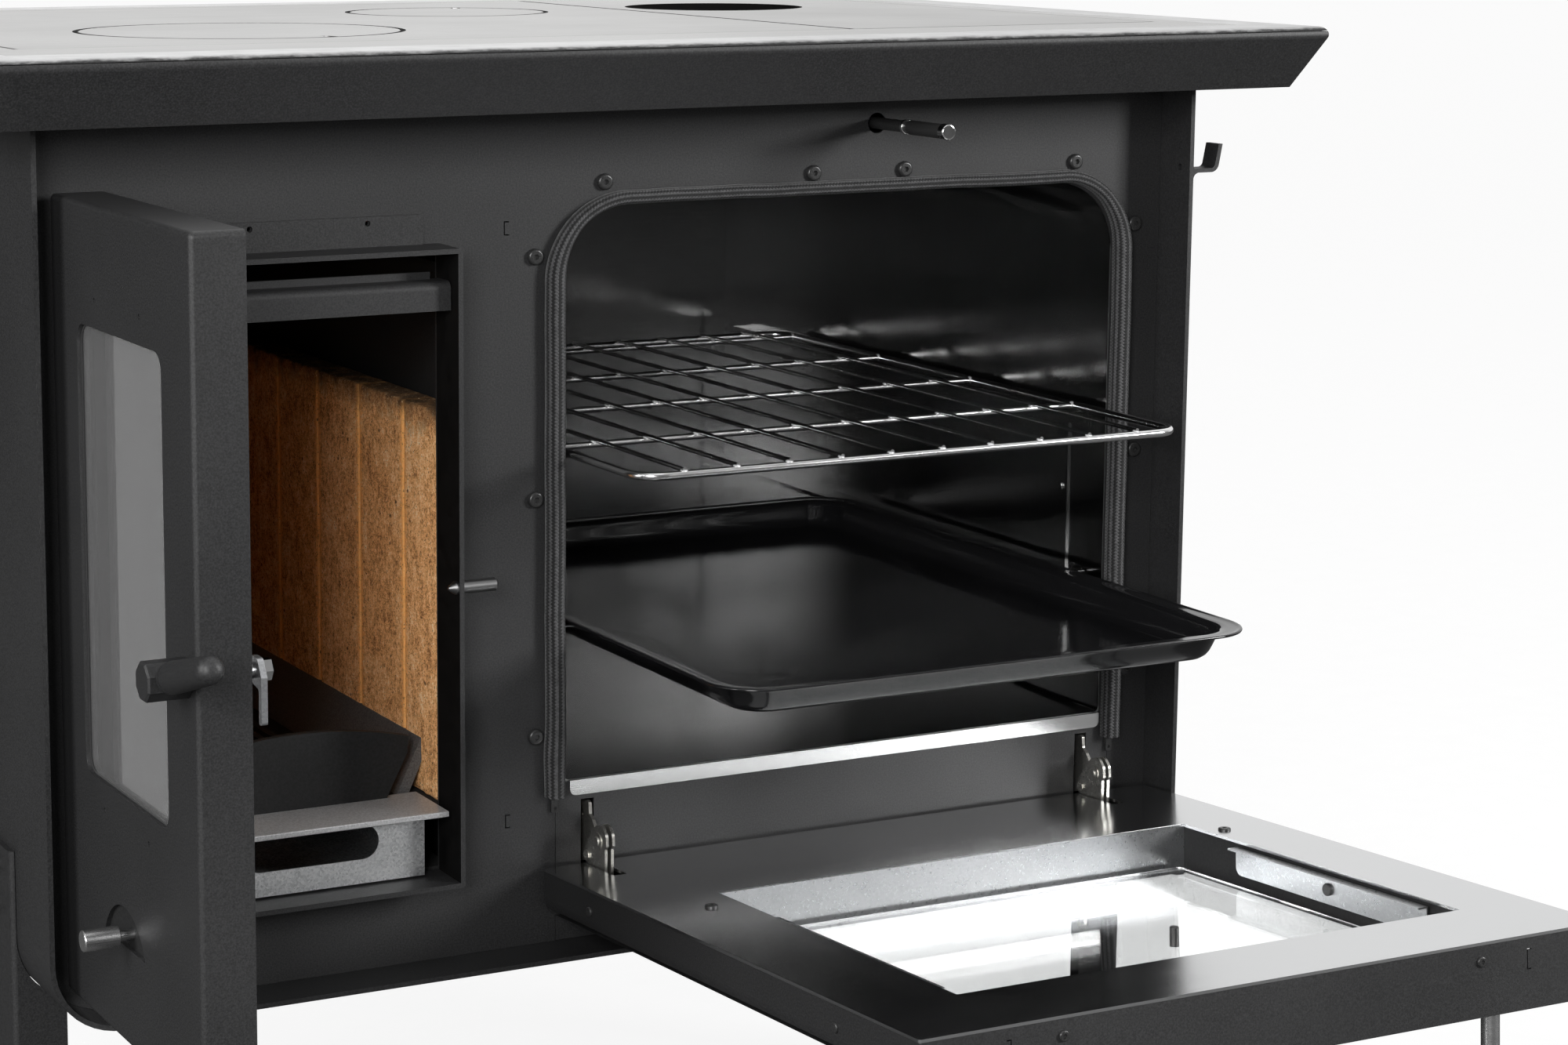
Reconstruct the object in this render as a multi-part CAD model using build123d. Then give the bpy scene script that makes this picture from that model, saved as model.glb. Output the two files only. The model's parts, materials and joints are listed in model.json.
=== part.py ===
from build123d import *
import math
import os

os.makedirs("parts", exist_ok=True)

# Axes: X across the front (0 = middle of the casing), Y from front to back
# (0 = front edge of the casing), Z up from the floor. Millimetres. On writing, the
# whole set moves along Y by SHIFT_Y, so that the origin is the bottom centre of the
# set's bounding box with both doors open as stored.

# ---------------------------------------------------------------- dimensions
CASE_HALF = 450.0       # outer half width of the casing wrap
CASE_T = 3.5            # wrap sheet
CASE_Z0, CASE_Z1 = 210.0, 855.0
CASE_R = 50.0           # rounded lower corners
CASE_D = 665.0
PANEL_Y = 37.0          # front face of the recessed front panel
PANEL_T = 2.0
TOP_Z = 859.0           # cooking surface
RIM_HALF = 521.5       # sharp corner before the bend
RIM_FRONT = -71.5
REAR_Y = 672.0
RIM_DROP = 41.0         # height of the sloping lip
RIM_SLOPE = 21.0        # how far the lip leans in
PLATE_T = 8.0           # hotplates
LID_BIG = (-224.0, 222.0, 115.0)
LID_SMALL = (36.0, 440.0, 78.0)
FLUE = (277.0, 434.0, 74.0)
LEG_T = 4.0
FB_PIVOT = (-378.0, 31.0)      # firebox door hinge line
PAN_T = 3.0
OD_PIVOT = (31.0, 276.0)       # oven door hinge line (Y, Z)
OD_TILT = -3.7                 # lie of the open door
OD_LEN = 503.0
OD_X0, OD_X1 = -74.0, 443.5
OVEN = (-56.0, 404.0, 331.0, 745.0, 640.0)
COLLAR = (-345.0, -150.0, 275.0, 721.0)
RUN = 0.05                     # running clearance of pins, radial
SHIFT_Y = -100.0


# ---------------------------------------------------------------- helpers
def bx(x0, x1, y0, y1, z0, z1):
    return Pos((x0 + x1) / 2, (y0 + y1) / 2, (z0 + z1) / 2) * Box(x1 - x0, y1 - y0, z1 - z0)


def cx(x0, x1, y, z, r):
    return Pos((x0 + x1) / 2, y, z) * Rot(0, 90, 0) * Cylinder(r, x1 - x0)


def cyy(y0, y1, x, z, r):
    return Pos(x, (y0 + y1) / 2, z) * Rot(90, 0, 0) * Cylinder(r, y1 - y0)


def cz(z0, z1, x, y, r):
    return Pos(x, y, (z0 + z1) / 2) * Cylinder(r, z1 - z0)


def face(pts):
    """Closed outline; a point (x, y, r) is rounded with radius r."""
    n = len(pts)
    segs = []
    ends = []
    for i in range(n):
        p = pts[i]
        if len(p) == 2 or p[2] == 0:
            ends.append(((p[0], p[1]), None, (p[0], p[1])))
            continue
        a = pts[i - 1]
        b = pts[(i + 1) % n]
        d1 = (a[0] - p[0], a[1] - p[1])
        d2 = (b[0] - p[0], b[1] - p[1])
        l1, l2 = math.hypot(*d1), math.hypot(*d2)
        d1 = (d1[0] / l1, d1[1] / l1)
        d2 = (d2[0] / l2, d2[1] / l2)
        ang = math.acos(max(-1, min(1, d1[0] * d2[0] + d1[1] * d2[1])))
        t = p[2] / math.tan(ang / 2)
        bis = (d1[0] + d2[0], d1[1] + d2[1])
        lb = math.hypot(*bis)
        bis = (bis[0] / lb, bis[1] / lb)
        c = (p[0] + bis[0] * p[2] / math.sin(ang / 2), p[1] + bis[1] * p[2] / math.sin(ang / 2))
        mid = (c[0] - bis[0] * p[2], c[1] - bis[1] * p[2])
        ends.append(((p[0] + d1[0] * t, p[1] + d1[1] * t), mid, (p[0] + d2[0] * t, p[1] + d2[1] * t)))
    for i in range(n):
        s, m, e = ends[i]
        if m is not None:
            segs.append(ThreePointArc(s, m, e))
        nx = ends[(i + 1) % n][0]
        if math.hypot(nx[0] - e[0], nx[1] - e[1]) > 1e-6:
            segs.append(Line(e, nx))
    return make_face(segs)


def py(sk, y0, y1):
    """Outline in (X, Z), pushed from y0 to y1."""
    return Pos(0, y1, 0) * extrude(Plane.XZ * sk, amount=y1 - y0)


def px(sk, x0, x1):
    """Outline in (Y, Z), pushed from x0 to x1."""
    return Pos(x0, 0, 0) * extrude(Plane.YZ * sk, amount=x1 - x0)


def pz(sk, z0, z1):
    return Pos(0, 0, z0) * extrude(sk, amount=z1 - z0)


def rr(x0, x1, z0, z1, r):
    return face([(x0, z0, r), (x1, z0, r), (x1, z1, r), (x0, z1, r)])


def rod(pts, r, bend=0.0):
    """Round bar through 3-D points with rounded bends."""
    v = [Vector(*p) for p in pts]
    segs = []
    last = v[0]
    for i in range(1, len(v) - 1):
        p = v[i]
        d1 = (v[i - 1] - p).normalized()
        d2 = (v[i + 1] - p).normalized()
        ang = math.acos(max(-1, min(1, d1.dot(d2))))
        t = bend / math.tan(ang / 2)
        bis = (d1 + d2).normalized()
        c = p + bis * (bend / math.sin(ang / 2))
        s, m, e = p + d1 * t, c - bis * bend, p + d2 * t
        segs.append(Line(last, s))
        segs.append(ThreePointArc(s, m, e))
        last = e
    segs.append(Line(last, v[-1]))
    path = Wire(segs) if len(segs) > 1 else Wire([segs[0]])
    d0 = (v[1] - v[0]).normalized()
    return sweep(Plane(origin=v[0], z_dir=d0) * Circle(r), path=path)


PARTS = []


def write(name, *shapes):
    solids = []
    for s in shapes:
        if isinstance(s, (list, tuple)):
            for t in s:
                solids.extend(t.solids())
        else:
            solids.extend(s.solids())
    PARTS.append((name, solids))


def button(x, z, y=PANEL_Y, r=5.8, h=3.5, tail=9.0, shank=2.5):
    """Domed cap screw on a front face at y, head towards -Y, with a hexagon socket."""
    dome = cyy(y - h, y, x, z, r)
    dome = fillet(dome.faces().sort_by(Axis.Y)[0].edges(), 1.9)
    hexs = Pos(x, y - h + 1.6, z) * extrude(Plane.XZ * RegularPolygon(2.1, 6), amount=2.0)
    return dome + cyy(y, y + tail, x, z, shank) - hexs


# ---------------------------------------------------------------- casing
i = CASE_T
casing = py(face([(-CASE_HALF, CASE_Z1), (-CASE_HALF, CASE_Z0, CASE_R), (CASE_HALF, CASE_Z0, CASE_R),
                  (CASE_HALF, CASE_Z1), (CASE_HALF - i, CASE_Z1), (CASE_HALF - i, CASE_Z0 + i, CASE_R - i),
                  (-CASE_HALF + i, CASE_Z0 + i, CASE_R - i), (-CASE_HALF + i, CASE_Z1)]), 0, CASE_D)
LEG_BOLT_Z = (275.0, 302.0)
LEG_Y = ((73.0, 133.0), (540.0, 600.0))
for s in (-1, 1):
    for y0, y1 in LEG_Y:
        for z in LEG_BOLT_Z:
            casing -= cx(s * 455 - 8, s * 455 + 12, (y0 + y1) / 2 + 6, z, 4.2) if s < 0 else cx(440, 460, (y0 + y1) / 2 + 6, z, 4.2)
casing -= cx(440, 460, 12, 752, 2.7)
casing -= cx(440, 460, 12, 768, 2.7)
write("casing", casing)

back = py(face([(-CASE_HALF, CASE_Z1 - 1), (-CASE_HALF, CASE_Z0, CASE_R), (CASE_HALF, CASE_Z0, CASE_R),
                (CASE_HALF, CASE_Z1 - 1)]), CASE_D, CASE_D + 2.5)
for k in range(7):
    back -= py(rr(-150 + k * 44, -120 + k * 44, 250, 256, 2.9), 660, 670)
write("back_panel", back)

# front panel: firebox opening, oven opening (open below, closed by the strip), rod hole, key slots
PI = 446.3
front = py(face([(-PI, 854), (-PI, 213.7, 46.3), (PI, 213.7, 46.3), (PI, 854)]), PANEL_Y, PANEL_Y + PANEL_T)
front -= py(face([(-56.8, 330.99), (404.2, 330.99), (404.2, 742, 52), (-56.8, 742, 52)]), PANEL_Y - 5, PANEL_Y + 8)
front -= bx(-63, 412, PANEL_Y - 5, PANEL_Y + 8, 200, 331)
front -= bx(-341.5, -153.5, 30, 45, 278.5, 717.5)
front -= cyy(30, 45, 196, 791.6, 7.5)


def key_slot(x, y0, y1, z, w=4.0, h=10.0, t=0.9, right=False):
    xs = (x + w - t, x + w) if right else (x, x + t)
    return bx(xs[0], xs[1], y0, y1, z - h / 2, z + h / 2) + bx(x, x + w, y0, y1, z + h / 2 - t, z + h / 2) + bx(x, x + w, y0, y1, z - h / 2, z - h / 2 + t)


for z in (728.7, 306.7):
    front -= key_slot(-102.4, 30, 45, z)
    front -= key_slot(-410.0, 30, 45, z)
SCREWS = [(-25, 758), (143, 757.5), (219.5, 757.5), (368.5, 757.3), (-78.8, 708), (-78.8, 537), (-78.8, 366),
          (423.4, 708.5), (428, 535), (426, 364)]
for x, z in SCREWS:
    front -= cyy(30, 45, x, z, 2.7)
for x in (-290, -205):
    front -= cyy(30, 45, x, 737, 1.6)
write("front_panel", front)

strip = py(face([(-62.6, 214), (411.6, 214, 9), (411.6, 330, 1.5), (-62.6, 330, 1.5)]), PANEL_Y, PANEL_Y + PANEL_T)
HX = (-36.5, 387.5)             # middle plane of the two oven door hinges
for x in HX:
    strip -= bx(x - 6.0, x + 4.4, 30, 45, 268, 316)
write("lower_front_strip", strip)

tabs = []
for xc, zc in ((-64.2, 314.5), (411.8, 305.5)):
    tb = py(rr(xc - 2.8, xc + 2.8, zc - 5.5, zc + 5.9, 1.4), 34.6, 37) - cyy(30, 36.0, xc, zc - 2.2, 1.2)
    tabs.append(tb)
write("panel_screws", [button(x, z) for x, z in SCREWS], tabs)

# ---------------------------------------------------------------- hob
def pyramid(off):
    """Sloping lip body, off = inset of the sheet."""
    zt, zb = TOP_Z, TOP_Z - RIM_DROP - 4
    k = RIM_SLOPE / RIM_DROP
    o = off
    x_t = RIM_HALF - o
    x_b = x_t - k * (zt - zb)
    yf_t = RIM_FRONT + o
    yf_b = yf_t + k * (zt - zb)
    top = [(-x_t, yf_t), (x_t, yf_t), (x_t, REAR_Y - o), (-x_t, REAR_Y - o)]
    bot = [(-x_b, yf_b), (x_b, yf_b), (x_b, REAR_Y - o), (-x_b, REAR_Y - o)]
    f1 = Pos(0, 0, zb) * face(bot)
    f2 = Pos(0, 0, zt) * face(top)
    return loft([f1, f2])


lip_out = pyramid(0)
e = lip_out.faces().sort_by(Axis.Z)[-1].edges().sort_by(Axis.Y)[:-1]
lip_out = fillet(e, 6.0)
lip_in = pyramid(2.6)
inner = lip_in & bx(-600, 600, -200, REAR_Y - 2.6, 700, TOP_Z - 3)
rim = lip_out - inner
rim -= bx(-470, 470, -20, 634, 700, 900)
rim -= bx(-460, 460, 600, 668.5, 700, 855.5)
# rolled lower edge
zb = TOP_Z - RIM_DROP - 4
kx = RIM_HALF - RIM_SLOPE / RIM_DROP * (TOP_Z - zb)
ky = RIM_FRONT + RIM_SLOPE / RIM_DROP * (TOP_Z - zb)
for s in (-1, 1):
    a, b = sorted((s * kx, s * (kx - 14)))
    rim += bx(a, b, ky, 668, zb, zb + 2.6)
rim += bx(-kx, kx, ky, ky + 14, zb, zb + 2.6)
write("hob_rim", rim)

frame_hole = [(-444.5, 49.0), (447.0 - 0.6, 49.0), (446.4, 611), (-444.5, 611)]
hob_frame = bx(-469.7, 469.7, -19.7, 633.7, 855, TOP_Z) - pz(face(frame_hole), 840, 870)
write("hob_frame", hob_frame)

support = bx(-446.2, 446.2, 39.6, 664, 848, 851) - bx(-425, 170, 72, 590, 840, 860) - bx(196, 425, 72, 590, 840, 860)


def hotplate(x0, x1, rnd):
    return pz(face([(x0, 50, rnd), (x1, 50, rnd), (x1, 610, rnd), (x0, 610, rnd)]), TOP_Z - PLATE_T, TOP_Z)


left = hotplate(-442.0, 181.0, 3)
left = chamfer(left.faces().sort_by(Axis.Z)[-1].edges(), 0.6)
for x, y, r in (LID_BIG, LID_SMALL):
    left -= cz(855, 860, x, y, r + 0.5) + cz(850, 856, x, y, r - 6)
# stiffening ribs below
for x in (-330, -118):
    left += bx(x, x + 6, 346, 515, 838, 851.5)
left += bx(-100, 150, 120, 126, 838, 851.5)
write("hotplate_left", left)

right = hotplate(184.0, 446.0, 3)
right = chamfer(right.faces().sort_by(Axis.Z)[-1].edges(), 0.6)
right -= cz(850, 860, FLUE[0], FLUE[1], FLUE[2])
write("hotplate_right", right)

collar_f = cz(818, 851, FLUE[0], FLUE[1], FLUE[2] + 6) - cz(800, 860, FLUE[0], FLUE[1], FLUE[2])
write("hob_support", support, collar_f)


def lid(x, y, r, ang):
    d = cz(855, TOP_Z, x, y, r)
    d = chamfer(d.faces().sort_by(Axis.Z)[-1].edges(), 0.5)
    d += cz(848.5, 855.5, x, y, r - 6.5)
    d -= cz(844, 852, x, y, r - 22)
    nx, ny = x + (r - 5) * math.cos(math.radians(ang)), y + (r - 5) * math.sin(math.radians(ang))
    slot = Pos(nx, ny, 857) * Rot(0, 0, ang) * Box(14, 7, 12)
    slot += Pos(nx - 6.5 * math.cos(math.radians(ang)), ny - 6.5 * math.sin(math.radians(ang)), 857) * Cylinder(3.5, 12)
    return d - (slot & cz(856, 870, x, y, r + 20))


write("lid_large", lid(*LID_BIG, -76))
write("lid_small", lid(*LID_SMALL, 60))

# ---------------------------------------------------------------- legs and hook
legs = []
bolts = []
nuts = []
for s in (-1, 1):
    for y0, y1 in LEG_Y:
        xo, xi, xf = -454.0, -450.0, -416.0
        prof = face([(xo, y0, 4.0), (xf, y0), (xf, y0 + LEG_T), (xi, y0 + LEG_T), (xi, y1), (xo, y1)])
        leg = pz(prof, 0, 320)
        cut = py(face([(-450.5, 330), (-450.5, 209.5, 50.5), (-300, 209.5), (-300, 330)]), y0 - 5, y0 + LEG_T + 0.02)
        leg -= cut
        leg -= cx(-460, -445, (y0 + y1) / 2 + 6, LEG_BOLT_Z[0], 4.2)
        leg -= cx(-460, -445, (y0 + y1) / 2 + 6, LEG_BOLT_Z[1], 4.2)
        if s > 0:
            leg = mirror(leg, about=Plane.YZ)
        legs.append(leg)
        for z in LEG_BOLT_Z:
            yb = (y0 + y1) / 2 + 6
            b = cx(-460, -454, yb, z, 7.0)
            b = fillet(b.faces().sort_by(Axis.X)[0].edges(), 2.5)
            b += cx(-454.5, -432, yb, z, 4.0)
            b -= Pos(-460, yb, z) * Rot(0, 90, 0) * extrude(RegularPolygon(3.2, 6), amount=3)
            nut = Pos(-446.5, yb, z) * Rot(0, 90, 0) * extrude(RegularPolygon(7.5, 6), amount=6.5) - cx(-450, -430, yb, z, 4.0)
            if s > 0:
                b = mirror(b, about=Plane.YZ)
                nut = mirror(nut, about=Plane.YZ)
            bolts.append(b)
            nuts.append(nut)
write("legs", legs)
write("leg_bolts", bolts, nuts)

hook = py(face([(450, 742), (450, 776), (453, 776), (453, 751, 2.0), (472, 751, 4.0), (475.6, 769), (479, 769), (475, 748, 7.0), (453, 748, 5.0), (453, 742)]), 4, 20)
hook -= cx(445, 458, 12, 768, 2.7)
hk = cx(453, 456.2, 12, 768, 4.6)
hk = fillet(hk.faces().sort_by(Axis.X)[-1].edges(), 1.4) + cx(446.6, 453, 12, 768, 2.5)
write("side_hook", hook, hk)

# ---------------------------------------------------------------- firebox fittings on the front
x0, x1, z0, z1 = COLLAR
ct = 3.5
fb_collar = py(face([(x0, z0, 2), (x1, z0, 2), (x1, z1, 2), (x0, z1, 2)]), 0, PANEL_Y) - bx(x0 + ct, x1 - ct, -5, 50, z0 + ct, z1 - ct)
fb_collar -= cx(-160, -145, 5, 487, 4.75)
fb_collar += bx(x0 + 14, x1 - 14, 34.4, 37, 721, 741.5) - cyy(30, 40, -290, 737, 2.0) - cyy(30, 40, -205, 737, 2.0)
write("firebox_collar", fb_collar)

pin = cx(-155, -124.3, 5, 487, 4.75) + Pos(-157.5, 5, 487) * Rot(0, -90, 0) * Cone(4.75, 1.2, 5.0)
pin = chamfer(pin.faces().sort_by(Axis.X)[-1].edges(), 0.8)
write("striker_pin", pin)

defl = px(face([(10, 678), (10, 698, 5.5), (30, 698), (30, 694.5), (13.5, 694.5, 2), (13.5, 678)]), -340.9, -154.6)
defl += bx(-332, -163, 26, 29, 694.5, 703)
defl += bx(-340.9, -338.5, 10, 32, 684, 698)
write("deflector_bar", defl)

sill = px(face([(10, 324, 0.8), (67, 324), (67, 328), (10, 328, 0.8)]), -335, -158)
write("sill_ledge", sill)

# firebox shell
SX0, SX1, SZ0, SZ1 = -371.0, -123.5, 262.0, 845.0
shell = bx(SX0, SX1, 39, 530, SZ0, SZ1) - bx(SX0 + 4, SX1 - 4, 30, 526, SZ0 + 4, 900)
shell -= bx(SX1 - 6, SX1 + 2, 90, 480, 700, 900)
write("firebox_shell", shell)

base = bx(-366.8, -127.7, 39.6, 525.8, 322.6, 326) - bx(-290, -205, 85, 480, 300, 340) - bx(-337, -156, 39, 67.6, 300, 340)

grate = bx(-296, -199, 72, 496, 326, 336)
for k in range(8):
    xk = -287.5 + k * 11.4
    for ya, yb in ((84, 210), (222, 346), (358, 484)):
        grate -= pz(rr(xk - 2.9, xk + 2.9, ya, yb, 2.8), 320, 340)
write("grate", grate)


def brick(y0, y1, xw, xi, z0=326.2, z1=604.5):
    """Board brick from wall side xw to inner face xi, long edges broken."""
    s = 1 if xi > xw else -1
    c = 3.0
    return pz(face([(xw, y0), (xw, y1), (xi - s * c, y1), (xi, y1 - c), (xi, y0 + c), (xi - s * c, y0)]), z0, z1)


rows = [(39.6, 98.8), (99.2, 179.8), (180.2, 259.8), (260.2, 339.8), (340.2, 419.8), (420.2, 499.8)]
bricks = [brick(a, b, -127.6, -152.5) for a, b in rows] + [brick(a, b, -366.9, -342.5) for a, b in rows]
seat_r = py(face([(-165, 366.4), (-143.9, 366.4), (-162.1, 325.9), (-178, 325.9)]), 30, 500)
seat_l = mirror(seat_r, about=Plane(origin=(-247.5, 0, 0), z_dir=(1, 0, 0)))
bricks = [(b - seat_r if b.center().X > -247 else b - seat_l) for b in bricks]
bb = []
for a, b in ((-342.0, -248.0), (-247.6, -153.0)):
    bb.append(pz(face([(a, 525.9), (b, 525.9), (b, 504), (b - 3, 500.9), (a + 3, 500.9), (a, 504)]), 326.2, 604.5))
write("firebricks", bricks, bb)

hop_r = py(face([(-152.6, 366.0, 1.2), (-144.4, 366.0, 1.2), (-162.4, 326.2), (-171.6, 326.2)]), 70, 498)
hop_l = mirror(hop_r, about=Plane(origin=(-247.5, 0, 0), z_dir=(1, 0, 0)))
write("hopper_plates", hop_r, hop_l)

ret = py(make_face([Line((-312, 328.1), (-315, 335)), Line((-315, 335), (-327.5, 359)), Line((-327.5, 359), (-329, 371)),
                    ThreePointArc((-329, 371), (-247.5, 381.5), (-166, 371)),
                    Line((-166, 371), (-167.5, 359)), Line((-167.5, 359), (-180, 335)), Line((-180, 335), (-183, 328.1)),
                    Line((-183, 328.1), (-312, 328.1))]), 60, 65.5)
write("log_retainer", ret)

rails = []
for xa in (-352.0, -167.0):
    r_ = bx(xa, xa + 24, 42, 520, 266.05, 279.7) - bx(xa + 2.5, xa + 21.5, 30, 540, 260, 277.2)
    rails.append(r_)
write("grate_frame", base, rails)

# ash drawer
dx0, dx1, dy0, dy1, dz0, dz1 = -325.0, -170.0, 25.0, 480.0, 280.0, 320.5
drawer = bx(dx0, dx1, dy0, dy1, dz0, dz1) - bx(dx0 + 1.2, dx1 - 1.2, dy0 + 1.2, dy1 - 1.2, dz0 + 1.2, 400)
drawer += bx(dx0, dx1, dy0, dy0 + 1.2, dz0, 323.4)
drawer -= py(rr(-304, -204.5, 297.3, 321.8, 12.2), 10, 40)
drawer += bx(dx0 + 1.2, dx0 + 7, dy0 + 1.2, dy1 - 1.2, dz1 - 1.2, dz1) + bx(dx1 - 7, dx1 - 1.2, dy0 + 1.2, dy1 - 1.2, dz1 - 1.2, dz1)
drawer += bx(dx0 - 14, dx0, dy0 + 60, dy1, dz0, dz0 + 1.2) + bx(dx1, dx1 + 14, dy0 + 60, dy1, dz0, dz0 + 1.2)
write("ash_drawer", drawer)

# ---------------------------------------------------------------- firebox door (drawn shut, then swung open)
def opened(p):
    return Pos(FB_PIVOT[0], FB_PIVOT[1], 0) * Rot(0, 0, -90) * Pos(-FB_PIVOT[0], -FB_PIVOT[1], 0) * p


PX0, PX1, PZ0, PZ1 = -377.0, -114.0, 234.5, 767.5
PYF, PYB = -20.0, 15.0
pan = bx(PX0, PX1, PYF, PYB, PZ0, PZ1)
pan = fillet(pan.edges().filter_by(Axis.Y), 4.0)
pan = fillet(pan.faces().sort_by(Axis.Y)[0].edges(), 3.5)
hollow = bx(PX0 + PAN_T, PX1 - PAN_T, PYF + PAN_T, PYB + 5, PZ0 + PAN_T, PZ1 - PAN_T)
pan -= hollow
pan -= py(rr(-326, -167, 397, 690, 12), -40, 0)
arc_air = make_face([Line((-294, 299.5), (-216, 299.5)), ThreePointArc((-216, 299.5), (-255, 325), (-294, 299.5))])
pan -= py(arc_air, -40, 0)
SPX, SPZ = -131.0, 501.0
bush = cyy(-17.5, -4, SPX, SPZ, 8.5)
pan += bush
pan -= cyy(-40, 10, SPX, SPZ, 5.0 + RUN)
for x in (-290, -205):
    for z in (379.4, 707.6):
        pan -= cyy(-40, 0, x, z, 1.7)
pan_open = opened(pan)
write("firebox_door_pan", pan_open)

gx0, gx1, gz0, gz1 = -334.0, -160.5, 387.0, 700.0
ggask = py(rr(gx0, gx1, gz0, gz1, 4), -17, -16) - py(rr(-325, -168, 398, 689, 11), -20, -10)
glass = py(rr(gx0, gx1, gz0, gz1, 4), -16, -12)
write("firebox_door_glass", opened(glass))

clips = []
cscrews = []
for x in (-290, -205):
    for top in (True, False):
        zc = 707.0 if top else 380.0
        s = 1 if top else -1
        prof = [(-17.0, zc + s * 4.6), (-17.0, zc - s * 4.4), (-12.0, zc - s * 6.2), (-12.0, zc - s * 13), (-10.6, zc - s * 13), (-10.6, zc - s * 5.0), (-15.5, zc - s * 3.2), (-15.5, zc + s * 4.6)]
        c = px(face(prof), x - 11, x + 11)
        c -= bx(x - 20, x + 20, -16.6, -12.0, *(sorted((zc - s * 30, zc - s * 7.0))))
        c -= cyy(-20, -5, x, zc + s * 0.6, 2.2)
        clips.append(c)
        sc = cyy(-15.5, -12.4, x, zc + s * 0.6, 3.6)
        sc = fillet(sc.faces().sort_by(Axis.Y)[-1].edges(), 1.0)
        sc += cyy(-17.5, -15.0, x, zc + s * 0.6, 1.5)
        cscrews.append(sc)
write("door_glass_clips", [opened(c) for c in clips], [opened(c) for c in cscrews])


def ring(ax0, ax1, az0, az1, w, y0, y1, r=6):
    """Rectangular ring centred on the given outline."""
    h = w / 2
    return py(rr(ax0 - h, ax1 + h, az0 - h, az1 + h, r + h), y0, y1) - py(rr(ax0 + h, ax1 - h, az0 + h, az1 - h, max(r - h, 0.6)), y0 - 1, y1 + 1)


RX0, RX1, RZ0, RZ1 = -343.25, -151.75, 276.75, 719.25
chan = ring(RX0, RX1, RZ0, RZ1, 14.0, -17, -9.5, r=8) - ring(RX0, RX1, RZ0, RZ1, 12.0, -16, 0, r=8)
rope = ring(RX0, RX1, RZ0, RZ1, 11.6, -15.9, -1.2, r=8)
rope = fillet([q for q in rope.faces().sort_by(Axis.Y)[-1].edges()], 3.2)
write("door_seals", opened(rope), opened(ggask))

# air slide
AX, AZ = -247.0, 309.0
slider = bx(AX - 50, AX + 20, -16.9, -14.9, 291.2, 331.2)
slider += cyy(-16, -11.5, AX, AZ, 5.0)
write("air_slider", opened(slider))
knob = cyy(-30, -16.9, AX, AZ, 3.5)
kn = cyy(-51, -27, AX, AZ, 7.0)
kn = fillet(kn.faces().sort_by(Axis.Y)[0].edges(), 1.2)
kn = chamfer(kn.faces().sort_by(Axis.Y)[-1].edges(), 0.6)
knob = knob + kn
write("air_knob", opened(knob))
guides = []
for s, zc in ((1, 331.4), (-1, 291.0)):
    g = px(face([(-17, zc), (-14.6, zc), (-14.6, zc - s * 3.0), (-13.0, zc - s * 3.0), (-13.0, zc + s * 1.4), (-15.6, zc + s * 1.4), (-15.6, zc + s * 4.6), (-17, zc + s * 4.6)]), -326, -168)
    guides.append(g)
write("door_inner_rails", opened(chan), [opened(g) for g in guides])

# latch: hub, lever, spindle, nut and hanging arm
hub_sk = Pos(SPX, 0, SPZ) * Rot(0, 22.5, 0) * Pos(0, -20.3, 0) * extrude(Plane.XZ * RegularPolygon(12.6, 8), amount=27.7)
hub = chamfer(hub_sk.faces().sort_by(Axis.Y)[0].edges(), 1.2)
lev_dir = Vector(85.0, 0, 24.4).normalized()
lp = Plane(origin=Vector(SPX, -34.5, SPZ) + lev_dir * 13.0, z_dir=lev_dir)
neck = Plane(origin=Vector(SPX, -34.5, SPZ) + lev_dir * 8.0, z_dir=lev_dir) * Cylinder(7.4, 12.0, align=(Align.CENTER, Align.CENTER, Align.MIN))
prof = face([(0, 0), (9.6, 0, 1.2), (10.0, 8.0), (8.5, 76.0, 7.5), (0, 76.0)])
lev = revolve(Plane.XZ * prof, axis=Axis.Z, revolution_arc=360)
lev -= Pos(0, 0, 5.0) * (Cylinder(12, 1.6) - Cylinder(8.8, 1.6))
lev = Plane(origin=Vector(SPX, -34.5, SPZ) + lev_dir * 14.0, z_dir=lev_dir) * lev
handle = hub + neck + lev
handle -= cyy(-47, -19, SPX, SPZ, 4.0)
write("latch_handle", opened(handle))
spindle = cyy(-40, -20.0, SPX, SPZ, 4.0) + cyy(-20.1, 22, SPX, SPZ, 5.0) + cyy(21.9, 33.5, SPX, SPZ, 3.5)
spindle = chamfer(spindle.faces().sort_by(Axis.Y)[-1].edges(), 0.7)
arm = face([(-139, 501 + 3.5, 5.5), (-136, 509.5, 4), (-124, 509.5, 5), (-117.6, 499, 3), (-117.6, 469.5, 1.9), (-122.0, 469.5, 1.9), (-122.0, 491.0, 2), (-131, 492.8, 2), (-139, 496.0, 4)])
arm = py(arm, 22, 26) - cyy(20, 30, SPX, SPZ, 3.5)
write("latch_arm", opened(arm))
wash = cyy(26, 27, SPX, SPZ, 7.6) - cyy(20, 30, SPX, SPZ, 3.6)
nut = Pos(SPX, 32.4, SPZ) * extrude(Plane.XZ * RegularPolygon(7.3, 6), amount=5.4) - cyy(20, 40, SPX, SPZ, 3.5)
write("latch_spindle", opened(spindle), opened(nut), opened(wash))

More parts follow.
